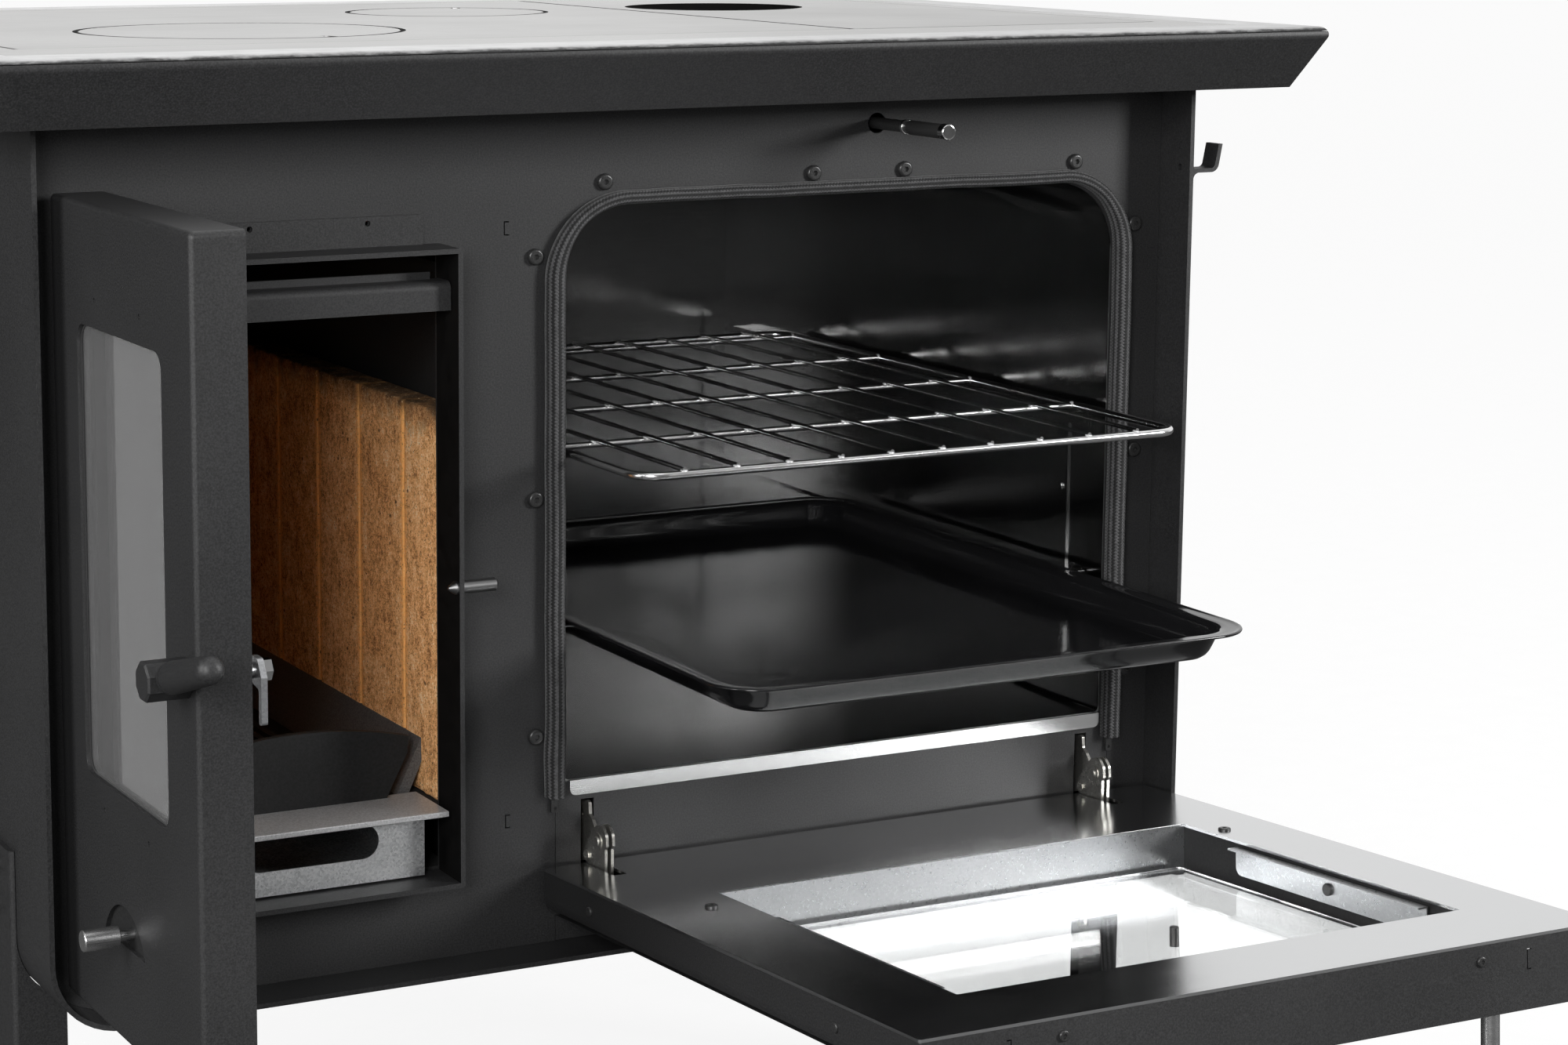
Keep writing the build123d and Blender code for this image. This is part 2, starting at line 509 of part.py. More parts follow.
# firebox door hinges
hf, hm, hp = [], [], []
for zc in (306.0, 696.0):
    k = cz(zc - 16, zc - 0.2, FB_PIVOT[0], FB_PIVOT[1], 5.6) + bx(-381.5, -374.5, 32, 37, zc - 16, zc - 0.2)
    k -= cz(zc - 20, zc + 5, FB_PIVOT[0], FB_PIVOT[1], 3.0)
    k += bx(-390, -366, 35.2, 37, zc - 22, zc - 0.2) - cz(zc - 30, zc + 5, FB_PIVOT[0], FB_PIVOT[1], 5.0)
    hf.append(k)
    m = cz(zc + 0.2, zc + 16, FB_PIVOT[0], FB_PIVOT[1], 5.6)
    m += pz(face([(-374.0, -6), (-371.0, -6), (-371.0, 20), (-374.0, 34.0), (-377.0, 35.0), (-379, 33), (-374.0, 19)]), zc + 0.2, zc + 16)
    m -= cz(zc - 5, zc + 20, FB_PIVOT[0], FB_PIVOT[1], 3.0 + RUN)
    hm.append(opened(m))
    p = cz(zc - 17, zc + 17.2, FB_PIVOT[0], FB_PIVOT[1], 3.0) + cz(zc + 16.4, zc + 18.6, FB_PIVOT[0], FB_PIVOT[1], 4.6)
    hp.append(p)
write("firebox_hinge_fixed", hf, hp)
write("firebox_hinge_moving", hm)

# ---------------------------------------------------------------- oven
ox0, ox1, oz0, oz1, oyb = OVEN
lt = 1.5
liner_out = face([(ox0 - lt, oz0 - lt, 6), (ox1 + lt, oz0 - lt, 6), (ox1 + lt, oz1 + lt, 40), (ox0 - lt, oz1 + lt, 40)])
liner_in = face([(ox0, oz0, 4.5), (ox1, oz0, 4.5), (ox1, oz1, 38.5), (ox0, oz1, 38.5)])
liner = py(liner_out, 39.1, oyb + lt) - py(liner_in, 30, oyb)
write("oven_liner", liner)


def runner(sign):
    """Pressed side plate with two folded ledges, drawn for the right wall."""
    r_ = px(rr(86, 600, 345, 566, 8), 402.5, 403.95)
    r_ += px(rr(60, 600, 437.1, 438.5, 0.5), 380, 403.2) + bx(402.5, 403.2, 60, 90, 424, 438.5)
    r_ += px(rr(60, 600, 562.3, 563.7, 0.5), 390, 403.2) + bx(402.5, 403.2, 60, 90, 550, 563.7)
    r_ += bx(380, 381.4, 60, 600, 434.8, 438.5)
    rv = cx(400.6, 403, 95, 499, 4.5)
    r_ += fillet(rv.faces().sort_by(Axis.X)[0].edges(), 1.4)
    if sign < 0:
        r_ = mirror(r_, about=Plane(origin=((ox0 + ox1) / 2, 0, 0), z_dir=(1, 0, 0)))
    return r_


write("oven_runners", runner(1), runner(-1))

lip = py(face([(-52, 320, 5), (402, 320, 5), (402, 331), (-52, 331)]), 35, 37)

gout = face([(-71.4, 321), (-71.4, 751.6, 61), (418.9, 751.6, 61), (418.9, 312), (404.6, 312), (404.6, 742, 51), (-57.1, 742, 51), (-57.1, 321)])
gask = py(gout, 26, PANEL_Y)
gask = fillet(gask.faces().sort_by(Axis.Y)[0].edges(), 3.4)
write("oven_gasket", gask)
write("oven_lip", lip)

ins = []
ins.append(bx(-440, 440, 643, 664.6, 262, 846))
ins.append(bx(430, 446.2, 52, 640, 320, 846))
ins.append(bx(-446.2, -430, 52, 640, 320, 846))
write("insulation", ins)

baf = bx(-50, 400, 100, 600, 780, 782) + bx(-50, -48, 100, 600, 746.6, 780.5) + bx(398, 400, 100, 600, 746.6, 780.5)
baf -= bx(215, 375, 340, 470, 770, 790)
write("smoke_baffle", baf)

# damper: pulled out as shown
DX, DZ = 196.0, 791.6
drod = cyy(-56, 392, DX, DZ, 4.3)
write("damper_rod", drod)
bore = cyy(-70, 0, DX, DZ, 4.32)
dgrip = cyy(-52.9, -9, DX, DZ, 5.2)
dgrip = chamfer(dgrip.faces().sort_by(Axis.Y)[-1].edges(), 0.8, 3.0)
write("damper_grip", dgrip - bore)
dring = cyy(-5.4, -2.0, DX, DZ, 5.5)
dring = fillet(dring.edges().filter_by(GeomType.CIRCLE), 0.7) - bore
dcap = cyy(-60, -53, DX, DZ, 5.7)
dcap = fillet(dcap.faces().sort_by(Axis.Y)[0].edges(), 1.3) - cyy(-56.02, 0, DX, DZ, 4.32)
write("damper_trim", dring, dcap)
dplate = bx(186, 392, 300, 400, 782.4, 785.4) + bx(190, 202, 340, 343, 785, 799) + bx(190, 202, 380, 383, 785, 799)
dplate -= cyy(330, 390, DX, DZ, 5.0)
dplate -= bx(100, 500, 398, 401, 790, 800)
write("damper_plate", dplate)

# ---------------------------------------------------------------- rack and tray
RKX0, RKX1, RKY0, RKY1, RKZ = -50.0, 394.0, -69.0, 517.0, 567.0
c_ = 20.0
half1 = rod([((RKX0 + RKX1) / 2, RKY0, RKZ), (RKX0, RKY0, RKZ), (RKX0, RKY1, RKZ), ((RKX0 + RKX1) / 2, RKY1, RKZ)], 3.0, c_)
half2 = rod([((RKX0 + RKX1) / 2, RKY0, RKZ), (RKX1, RKY0, RKZ), (RKX1, RKY1, RKZ), ((RKX0 + RKX1) / 2, RKY1, RKZ)], 3.0, c_)
rack = half1 + half2
for y in (67, 210, 351, 495):
    rack += cx(RKX0, RKX1, y, RKZ, 2.4)
for x in (-17.7, 23.9, 65.4, 106.9, 147.1, 189.2, 229.9, 271.7, 312.9, 354.6):
    rack += cyy(RKY0 - 1.5, RKY1 + 1.5, x, RKZ + 3.6, 1.65)
write("oven_rack", rack)

TX0, TX1, TY0, TY1, TZ = -40.0, 390.0, -181.0, 412.0, 440.0


def tub(inset, ztop, zbot, dt):
    a = face([(TX0 + 14 + inset, TY0 + 14 + inset, 30 - inset), (TX1 - 14 - inset, TY0 + 14 + inset, 30 - inset),
              (TX1 - 14 - inset, TY1 - 14 - inset, 30 - inset), (TX0 + 14 + inset, TY1 - 14 - inset, 30 - inset)])
    j = inset + dt
    b = face([(TX0 + 14 + j, TY0 + 14 + j, 24 - inset), (TX1 - 14 - j, TY0 + 14 + j, 24 - inset),
              (TX1 - 14 - j, TY1 - 14 - j, 24 - inset), (TX0 + 14 + j, TY1 - 14 - j, 24 - inset)])
    return loft([Pos(0, 0, zbot) * b, Pos(0, 0, ztop) * a])


tray = tub(0, TZ, TZ - 22, 11) - tub(1.3, TZ + 0.01, TZ - 20.7, 11)
tray += pz(rr(TX0, TX1, TY0, TY1, 40), TZ - 1.3, TZ) - tub(0.6, TZ + 4, TZ - 30, 9)
tray += pz(rr(TX0, TX1, TY0, TY1, 40), TZ - 1.3, TZ + 0.9) - pz(rr(TX0 + 1.4, TX1 - 1.4, TY0 + 1.4, TY1 - 1.4, 38.6), 400, 500)
write("oven_tray", tray)

# ---------------------------------------------------------------- oven door (drawn flat, then laid at its open tilt)
def laid(p):
    return Pos(0, 33, 270) * Rot(OD_TILT, 0, 0) * p


def hinge_to_world(yz):
    a = math.radians(OD_TILT)
    return (33 + yz[0] * math.cos(a) - yz[1] * math.sin(a), 270 + yz[0] * math.sin(a) + yz[1] * math.cos(a))


WX0, WX1, WY0, WY1 = -3.0, 387.0, -432.0, -129.0
plate = pz(face([(OD_X0, -OD_LEN, 2), (OD_X1, -OD_LEN, 2), (OD_X1, 0, 2), (OD_X0, 0, 2)]), -2, 0) - bx(WX0, WX1, WY0, WY1, -10, 10)
for x in HX:
    plate -= bx(x - 5.5, x + 5.5, -47, 5, -10, 10)
PS = [(-26.5, -163), (399.8, -162)]
for x, y in PS:
    plate -= cz(-10, 10, x, y, 2.2)
write("door_inner_plate", laid(plate))

st = 1.6
sk = bx(OD_X0, OD_X1, -OD_LEN, -0.5, -36, -2.1)
sk += bx(OD_X0, OD_X1, -OD_LEN, -468, -49, -30)
sk = fillet([q for q in sk.edges().filter_by(Axis.Y) if abs(q.center().Z + 36) < 0.5 and abs(abs(q.center().X - (OD_X0 + OD_X1) / 2) - (OD_X1 - OD_X0) / 2) < 0.5], 14.0)
sk = fillet(sk.edges().filter_by(Axis.Y).group_by(Axis.Z)[0], 3.0)
inn = bx(OD_X0 + st, OD_X1 - st, -OD_LEN + st, -2.1, -36 + st, 5) + bx(OD_X0 + st, OD_X1 - st, -OD_LEN + st, -468 - st, -49 + st, -20)
skin = sk - inn
skin -= bx(20, 380, -426, -140, -60, -30)
for x in HX:
    skin -= bx(x - 8, x + 8, -10, 5, -40, 0)
for x, y in ((4, -128), (382, -128), (4, -436), (382, -436)):
    skin -= cz(-45, -30, x, y, 2.9)
skin -= pz(Pos(365, -486) * Circle(3.1), -60, -40) + pz(Pos(5, -486) * Circle(3.1), -60, -40)
skin -= cyy(-510, -495, 343, -12.5, 2.1) + cyy(-510, -495, 26, -12.5, 2.1)
skin -= cx(OD_X0 - 5, OD_X0 + 5, -73, -16, 2.1) + cx(OD_X0 - 5, OD_X0 + 5, -407, -16, 2.1)
skin -= cx(OD_X1 - 5, OD_X1 + 5, -73, -16, 2.1) + cx(OD_X1 - 5, OD_X1 + 5, -407, -16, 2.1)
skin -= key_slot(380.2, -510, -495, -16, w=3.5, h=13.7)
skin -= key_slot(-14.0, -510, -495, -16, w=3.5, h=13.7, right=True)
write("door_skin", laid(skin))

ch1 = bx(WX0 + 0.1, WX1 - 0.1, WY1 - 1.3, WY1 - 0.1, -34.3, -0.2) + bx(WX0 + 0.1, WX1 - 0.1, WY1 - 10, WY1 - 0.1, -34.3, -33.1)
ch1 += bx(WX0 + 0.1, WX1 - 0.1, WY1 - 2.6, WY1 - 0.1, -1.4, -0.2)
ch2 = bx(WX0 - 1.2, WX1, WY0 - 1.2, WY0, -34.3, -2.1) + bx(WX0, WX1 - 0.1, WY0, WY0 + 10, -34.3, -33.1)
cs1 = bx(WX1 + 0.05, WX1 + 1.25, WY0, WY1 - 0.1, -34.3, -2.1)
cs2 = bx(WX0 - 1.25, WX0 - 0.05, WY0, WY1 - 0.1, -34.3, -2.1)
write("window_channel_side", laid(cs1), laid(cs2))

oglass = pz(rr(-6, 392, -446, -118, 5), -40.1, -36.1)
for x, y in ((12, -128), (374, -128), (12, -436), (374, -436)):
    oglass -= cz(-45, -30, x - 8 if x < 100 else x + 8, y, 3.0)
write("door_outer_glass", laid(oglass))
gs = []
for x, y in ((4, -128), (382, -128), (4, -436), (382, -436)):
    b = cz(-42.6, -40.2, x, y, 6.0)
    b = fillet(b.faces().sort_by(Axis.Z)[0].edges(), 1.2) + cz(-40.5, -34.5, x, y, 2.6)
    gs.append(laid(b))
iglass = pz(rr(10, 378, -424, -137, 3), -33.0, -29.6)
write("door_inner_glass", laid(iglass))

br = px(face([(-402, -24.0), (-402, -4.0), (-196, -4.0), (-196, -24.0, 6)]), 384.2, 385.4) + bx(377, 385.4, -402, -196, -5.2, -4.0)
br2 = mirror(br, about=Plane(origin=((WX0 + WX1) / 2, 0, 0), z_dir=(1, 0, 0)))
write("window_channel", laid(ch1), laid(ch2), laid(br), laid(br2))
brs = []
for x, s in ((384.2, -1), (-0.2, 1)):
    a, b = sorted((x, x + s * 2.6))
    b_ = cx(a, b, -300, -13.5, 4.4)
    fs = b_.faces().sort_by(Axis.X)
    b_ = fillet((fs[0] if s < 0 else fs[-1]).edges(), 1.1)
    brs.append(laid(b_))
stud = cz(-29.5, -16, 241, -318, 3.2)
brs.append(laid(chamfer(stud.faces().sort_by(Axis.Z)[-1].edges(), 0.6)))

dscr = []
for x, y in PS:
    b = cz(0, 1.9, x, y, 4.6)
    b = fillet(b.faces().sort_by(Axis.Z)[-1].edges(), 1.2) + cz(-7, 0, x, y, 2.0)
    b -= pz(Pos(x, y) * RegularPolygon(1.8, 6), 0.6, 3)
    dscr.append(laid(b))
for x in (343, 26):
    b = cyy(-OD_LEN - 1.7, -OD_LEN, x, -12.5, 3.5)
    b = fillet(b.faces().sort_by(Axis.Y)[0].edges(), 1.0) + cyy(-OD_LEN, -OD_LEN + 6, x, -12.5, 1.9)
    b -= Pos(x, -OD_LEN - 0.7, -12.5) * extrude(Plane.XZ * RegularPolygon(1.6, 6), amount=2.0)
    dscr.append(laid(b))
for s, xs in ((-1, OD_X0), (1, OD_X1)):
    for y in (-73, -407):
        a, b2 = sorted((xs, xs + s * 1.7))
        b = cx(a, b2, y, -16, 3.5)
        fs = b.faces().sort_by(Axis.X)
        b = fillet((fs[-1] if s > 0 else fs[0]).edges(), 1.0)
        a, b2 = sorted((xs, xs - s * 6))
        b += cx(a, b2, y, -16, 1.9)
        dscr.append(laid(b))
write("door_screws", dscr, gs, brs)

posts = []
for x in (365, 5):
    p = cz(-92, -49, x, -486, 6.0) + cz(-49.5, -41, x, -486, 3.0)
    posts.append(laid(p))
hb = cx(-32, 402, -486, -101.0, 9.0)
hb = fillet(hb.faces().sort_by(Axis.X)[0].edges() + hb.faces().sort_by(Axis.X)[-1].edges(), 2.0)
write("door_handle", posts, laid(hb))

# oven door hinges: a fixed claw plate between the two plates of the door's arm, on one pin
claws, arms, pins = [], [], []
PYh, PZh = OD_PIVOT
for idx, x in enumerate(HX):
    s = 1 if idx == 0 else -1
    cl = px(face([(29.0, 271.4, 2), (36.6, 270.6), (64.2, 262), (64.2, 313), (40, 313), (37.6, 314.8, 1.0), (34.2, 313.6, 1.0),
                  (33.2, 305.5, 2.0), (28.5, 302.4, 1.6), (23.5, 296.5, 3.0), (22.0, 287.5, 3.0), (26.0, 281.5, 2.0)]), x - 1.2, x + 1.2)
    cl += cx(x - 1.2, x + 1.2, PYh, PZh, 5.4)
    xa, xb = sorted((x + s * 1.2, x - s * 26))
    cl += bx(xa, xb, 62, 64.2, 262, 313)
    xa, xb = sorted((x - s * 23.8, x - s * 26))
    cl += bx(xa, xb, 39.2, 64.2, 262, 313)
    xa, xb = sorted((x - s * 23.8, x - s * 40))
    cl += bx(xa, xb, 39.2, 41.4, 262, 313)
    cl -= cx(x - 10, x + 10, PYh, PZh, 2.5)
    claws.append(cl)
    prof = face([(35.6, 279.5), (25.5, 293.5, 7), (17.5, 301.5, 5), (8.5, 303.6, 5), (2.2, 297.5, 5), (1.4, 289.5, 1.2), (3.4, 287.0, 1.0),
                 (3.6, 245.5, 3), (23.0, 244.5, 3), (22.0, 262.5, 5), (27.5, 269.5, 2), (33.5, 271.6)])
    ar = px(prof, x - 3.6, x - 1.4) + px(prof, x + 1.4, x + 3.6)
    ar += cx(x - 3.6, x - 1.4, PYh, PZh, 5.4) + cx(x + 1.4, x + 3.6, PYh, PZh, 5.4)
    ar += cx(x - 4.3, x - 3.5, 14.5, 290.5, 6.4)
    dome = cx(x - 5.5, x - 4.2, 14.5, 290.5, 3.6)
    ar += fillet(dome.faces().sort_by(Axis.X)[0].edges(), 1.0)
    xa, xb = sorted((x - s * 3.6, x + s * 22))
    ar += laid(bx(xa, xb, -42, -18, -12, -9.6))
    xa, xb = sorted((x + s * 19.8, x + s * 22))
    ar += laid(bx(xa, xb, -42, -18, -12, -2.1))
    ar -= cx(x - 10, x + 10, PYh, PZh, 2.5 + RUN)
    arms.append(ar)
    pn = cx(x - 3.7, x + 3.7, PYh, PZh, 2.5) + cx(x - 5.0, x - 3.7, PYh, PZh, 3.8) + cx(x + 3.7, x + 5.0, PYh, PZh, 3.8)
    pins.append(pn)
write("oven_hinge_claws", claws, pins)
write("oven_hinge_arms", arms)

# ---------------------------------------------------------------- hand over
lo, hi = 1e9, -1e9
for name, solids in PARTS:
    moved = [Pos(0, SHIFT_Y, 0) * q for q in solids]
    shape = moved[0] if len(moved) == 1 else Compound(children=moved)
    export_step(shape, "parts/" + name + ".step")
    bb = shape.bounding_box()
    lo, hi = min(lo, bb.min.Y), max(hi, bb.max.Y)
    print("%-26s %2d  %s" % (name, len(moved), [round(v, 1) for v in (bb.min.X, bb.max.X, bb.min.Y, bb.max.Y, bb.min.Z, bb.max.Z)]))
print("overall Y", round(lo, 3), round(hi, 3))
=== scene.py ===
import bpy
import bmesh
import json
import math
import numpy as np
from mathutils import Matrix, Vector


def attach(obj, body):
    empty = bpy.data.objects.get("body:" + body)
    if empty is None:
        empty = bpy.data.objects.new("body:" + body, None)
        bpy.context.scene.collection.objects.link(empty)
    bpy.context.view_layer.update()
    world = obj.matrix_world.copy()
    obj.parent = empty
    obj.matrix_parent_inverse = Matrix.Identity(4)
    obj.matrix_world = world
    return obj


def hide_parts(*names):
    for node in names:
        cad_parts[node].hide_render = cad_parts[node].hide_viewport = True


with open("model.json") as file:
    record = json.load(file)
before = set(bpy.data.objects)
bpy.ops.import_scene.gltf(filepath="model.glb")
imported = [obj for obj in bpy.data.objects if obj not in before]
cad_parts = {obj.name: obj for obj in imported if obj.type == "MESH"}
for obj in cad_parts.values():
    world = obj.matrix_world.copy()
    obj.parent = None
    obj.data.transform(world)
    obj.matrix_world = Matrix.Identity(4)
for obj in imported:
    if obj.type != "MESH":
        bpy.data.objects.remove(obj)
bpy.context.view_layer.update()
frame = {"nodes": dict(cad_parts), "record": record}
NODES = frame["nodes"]
SY = -0.100            # the record's frame sits 100 mm in front of the drawing's


def P(x, y, z):
    """Drawing millimetres to metres in the row frame."""
    return Vector((x / 1000.0, y / 1000.0 + SY, z / 1000.0))


# ------------------------------------------------------------------ node helpers
def new_mat(name):
    m = bpy.data.materials.new(name)
    m.use_nodes = True
    nt = m.node_tree
    return m, nt, nt.nodes["Principled BSDF"]


def coord(nt, scale=(1, 1, 1), loc=(0, 0, 0), rot=(0, 0, 0)):
    t = nt.nodes.new("ShaderNodeTexCoord")
    mp = nt.nodes.new("ShaderNodeMapping")
    mp.inputs["Scale"].default_value = scale
    mp.inputs["Location"].default_value = loc
    mp.inputs["Rotation"].default_value = rot
    nt.links.new(t.outputs["Object"], mp.inputs["Vector"])
    return mp.outputs["Vector"]


def noise(nt, vec, scale, detail=2.0, rough=0.5, dist=0.0):
    n = nt.nodes.new("ShaderNodeTexNoise")
    n.inputs["Scale"].default_value = scale
    n.inputs["Detail"].default_value = detail
    n.inputs["Roughness"].default_value = rough
    n.inputs["Distortion"].default_value = dist
    nt.links.new(vec, n.inputs["Vector"])
    return n.outputs["Fac"]


def voronoi(nt, vec, scale, feature="F1", out="Distance", rand=1.0):
    n = nt.nodes.new("ShaderNodeTexVoronoi")
    n.feature = feature
    n.inputs["Scale"].default_value = scale
    n.inputs["Randomness"].default_value = rand
    nt.links.new(vec, n.inputs["Vector"])
    return n.outputs[out]


def ramp(nt, fac, stops, interp="LINEAR"):
    r = nt.nodes.new("ShaderNodeValToRGB")
    cr = r.color_ramp
    cr.interpolation = interp
    while len(cr.elements) < len(stops):
        cr.elements.new(0.5)
    for e, (p, c) in zip(cr.elements, stops):
        e.position = p
        if not isinstance(c, (tuple, list)):
            c = (c, c, c)
        e.color = (c[0], c[1], c[2], 1)
    nt.links.new(fac, r.inputs["Fac"])
    return r.outputs["Color"]


def maprange(nt, fac, a, b, c, d):
    r = nt.nodes.new("ShaderNodeMapRange")
    r.inputs["From Min"].default_value = a
    r.inputs["From Max"].default_value = b
    r.inputs["To Min"].default_value = c
    r.inputs["To Max"].default_value = d
    nt.links.new(fac, r.inputs["Value"])
    return r.outputs["Result"]


def math2(nt, op, a, b):
    m = nt.nodes.new("ShaderNodeMath")
    m.operation = op
    for i, v in enumerate((a, b)):
        if isinstance(v, (int, float)):
            m.inputs[i].default_value = v
        else:
            nt.links.new(v, m.inputs[i])
    return m.outputs[0]


def mixc(nt, fac, a, b, mode="MIX"):
    m = nt.nodes.new("ShaderNodeMix")
    m.data_type = "RGBA"
    m.blend_type = mode
    if isinstance(fac, (int, float)):
        m.inputs[0].default_value = fac
    else:
        nt.links.new(fac, m.inputs[0])
    for sock, v in ((m.inputs[6], a), (m.inputs[7], b)):
        if isinstance(v, (tuple, list)):
            sock.default_value = (v[0], v[1], v[2], 1)
        else:
            nt.links.new(v, sock)
    return m.outputs[2]


def bump(nt, bsdf, height, strength, dist, normal=None):
    b = nt.nodes.new("ShaderNodeBump")
    b.inputs["Strength"].default_value = strength
    b.inputs["Distance"].default_value = dist
    nt.links.new(height, b.inputs["Height"])
    if normal is not None:
        nt.links.new(normal, b.inputs["Normal"])
    if bsdf is not None:
        nt.links.new(b.outputs["Normal"], bsdf.inputs["Normal"])
    return b.outputs["Normal"]


def setv(bsdf, **kw):
    for k, v in kw.items():
        bsdf.inputs[k.replace("_", " ")].default_value = v


# ------------------------------------------------------------------ materials
def paint(name, lo=0.018, hi=0.040, rough=(0.42, 0.56), grain=1500.0, strength=0.22, tint=(1, 1, 1.03)):
    """Textured stove paint: fine pebbled grain, faint speckle, slow cloudiness."""
    m, nt, b = new_mat(name)
    v = coord(nt)
    g = noise(nt, v, grain, 3.0, 0.6)
    s = noise(nt, v, grain * 0.55, 1.0, 0.5)
    cloud = noise(nt, v, 5.0, 3.0, 0.5)
    f = math2(nt, "ADD", math2(nt, "MULTIPLY", s, 0.8), math2(nt, "MULTIPLY", cloud, 0.2))
    c = ramp(nt, f, [(0.34, tuple(lo * t for t in tint)), (0.52, tuple((lo + hi) / 2 * t for t in tint)), (0.70, tuple(hi * t for t in tint))])
    nt.links.new(c, b.inputs["Base Color"])
    nt.links.new(maprange(nt, cloud, 0.3, 0.7, rough[0], rough[1]), b.inputs["Roughness"])
    bump(nt, b, g, strength, 0.0003)
    setv(b, Specular_IOR_Level=0.42)
    return m


def brushed(name, col=(0.56, 0.55, 0.54), axis="X", rough=(0.26, 0.40), streak=0.10, metal=1.0, fine=900.0, bumps=0.05, blot=0.0):
    """Metal with drawn streaks along one axis."""
    m, nt, b = new_mat(name)
    sc = {"X": (0.012, 1, 1), "Y": (1, 0.012, 1), "Z": (1, 1, 0.012)}[axis]
    v = coord(nt, scale=sc)
    st = noise(nt, v, fine, 3.0, 0.6)
    st2 = noise(nt, v, fine * 0.25, 2.0, 0.5)
    big = noise(nt, coord(nt), 3.5, 4.0, 0.55)
    f = math2(nt, "ADD", math2(nt, "MULTIPLY", st, 0.6), math2(nt, "MULTIPLY", st2, 0.4))
    c = ramp(nt, f, [(0.3, tuple(x * (1 - streak) for x in col)), (0.7, tuple(min(1, x * (1 + streak)) for x in col))])
    if blot:
        c = mixc(nt, maprange(nt, big, 0.35, 0.7, 0.0, blot), c, tuple(x * 0.6 for x in col))
    nt.links.new(c, b.inputs["Base Color"])
    r = math2(nt, "ADD", maprange(nt, f, 0.3, 0.7, rough[0], rough[1]), maprange(nt, big, 0.3, 0.7, -0.03, 0.05))
    nt.links.new(r, b.inputs["Roughness"])
    bump(nt, b, f, bumps, 0.0002)
    setv(b, Metallic=metal)
    return m


def galvanised(name, col=(0.62, 0.63, 0.65), rough=(0.26, 0.42), contrast=0.22, relief=0.16):
    """Zinc coat: fine crystalline sparkle, soft mottle and rub marks."""
    m, nt, b = new_mat(name)
    v = coord(nt)
    sp = voronoi(nt, v, 620.0, out="Color")
    spv = nt.nodes.new("ShaderNodeRGBToBW")
    nt.links.new(sp, spv.inputs[0])
    fine = noise(nt, v, 1900.0, 3.0, 0.7)
    rub = noise(nt, coord(nt, scale=(0.25, 1, 1)), 70.0, 4.0, 0.6)
    f = math2(nt, "ADD", math2(nt, "MULTIPLY", spv.outputs[0], 0.30), math2(nt, "ADD", math2(nt, "MULTIPLY", fine, 0.45), math2(nt, "MULTIPLY", rub, 0.25)))
    c = ramp(nt, f, [(0.34, tuple(x * (1 - contrast) for x in col)), (0.50, col), (0.66, tuple(min(1, x * (1 + contrast)) for x in col))])
    nt.links.new(c, b.inputs["Base Color"])
    nt.links.new(maprange(nt, f, 0.3, 0.7, rough[1], rough[0]), b.inputs["Roughness"])
    bump(nt, b, math2(nt, "ADD", fine, math2(nt, "MULTIPLY", spv.outputs[0], 0.5)), relief, 0.0003)
    setv(b, Metallic=0.95)
    return m


def polished(name, col=(0.62, 0.62, 0.62), rough=(0.13, 0.24), axis="X", streak=0.02, bumps=0.006):
    """Smooth rolled sheet: soft long streaks, faint wipe marks, hardly any relief."""
    m, nt, b = new_mat(name)
    sc = {"X": (0.02, 1, 1), "Y": (1, 0.02, 1), "Z": (1, 1, 0.02)}[axis]
    st = noise(nt, coord(nt, scale=sc), 1500.0, 2.0, 0.5)
    wipe = noise(nt, coord(nt, scale=(0.6, 1.0, 0.8), rot=(0.3, 0.2, 0.5)), 9.0, 5.0, 0.6, 0.6)
    f = math2(nt, "ADD", math2(nt, "MULTIPLY", st, 0.5), math2(nt, "MULTIPLY", wipe, 0.5))
    c = ramp(nt, f, [(0.35, tuple(x * (1 - streak) for x in col)), (0.65, tuple(min(1, x * (1 + streak)) for x in col))])
    nt.links.new(c, b.inputs["Base Color"])
    nt.links.new(maprange(nt, f, 0.35, 0.65, rough[0], rough[1]), b.inputs["Roughness"])
    bump(nt, b, st, bumps, 0.0002)
    setv(b, Metallic=1.0)
    return m


def cast(name, lo=0.020, hi=0.055, rough=(0.50, 0.72), fleck=0.16):
    """Rough cast or scaled plate: pits, dull flecks of bare metal."""
    m, nt, b = new_mat(name)
    v = coord(nt)
    g = noise(nt, v, 700.0, 4.0, 0.65)
    s = noise(nt, v, 1600.0, 2.0, 0.6)
    big = noise(nt, v, 14.0, 3.0, 0.5)
    c = ramp(nt, g, [(0.35, (lo, lo, lo)), (0.62, (hi, hi, hi * 1.02))])
    fl = ramp(nt, s, [(0.60, 0.0), (0.72, 1.0)])
    c = mixc(nt, fl, c, (fleck, fleck, fleck * 0.98))
    nt.links.new(c, b.inputs["Base Color"])
    nt.links.new(maprange(nt, big, 0.3, 0.7, rough[0], rough[1]), b.inputs["Roughness"])
    bump(nt, b, g, 0.35, 0.0004)
    setv(b, Metallic=0.35)
    return m


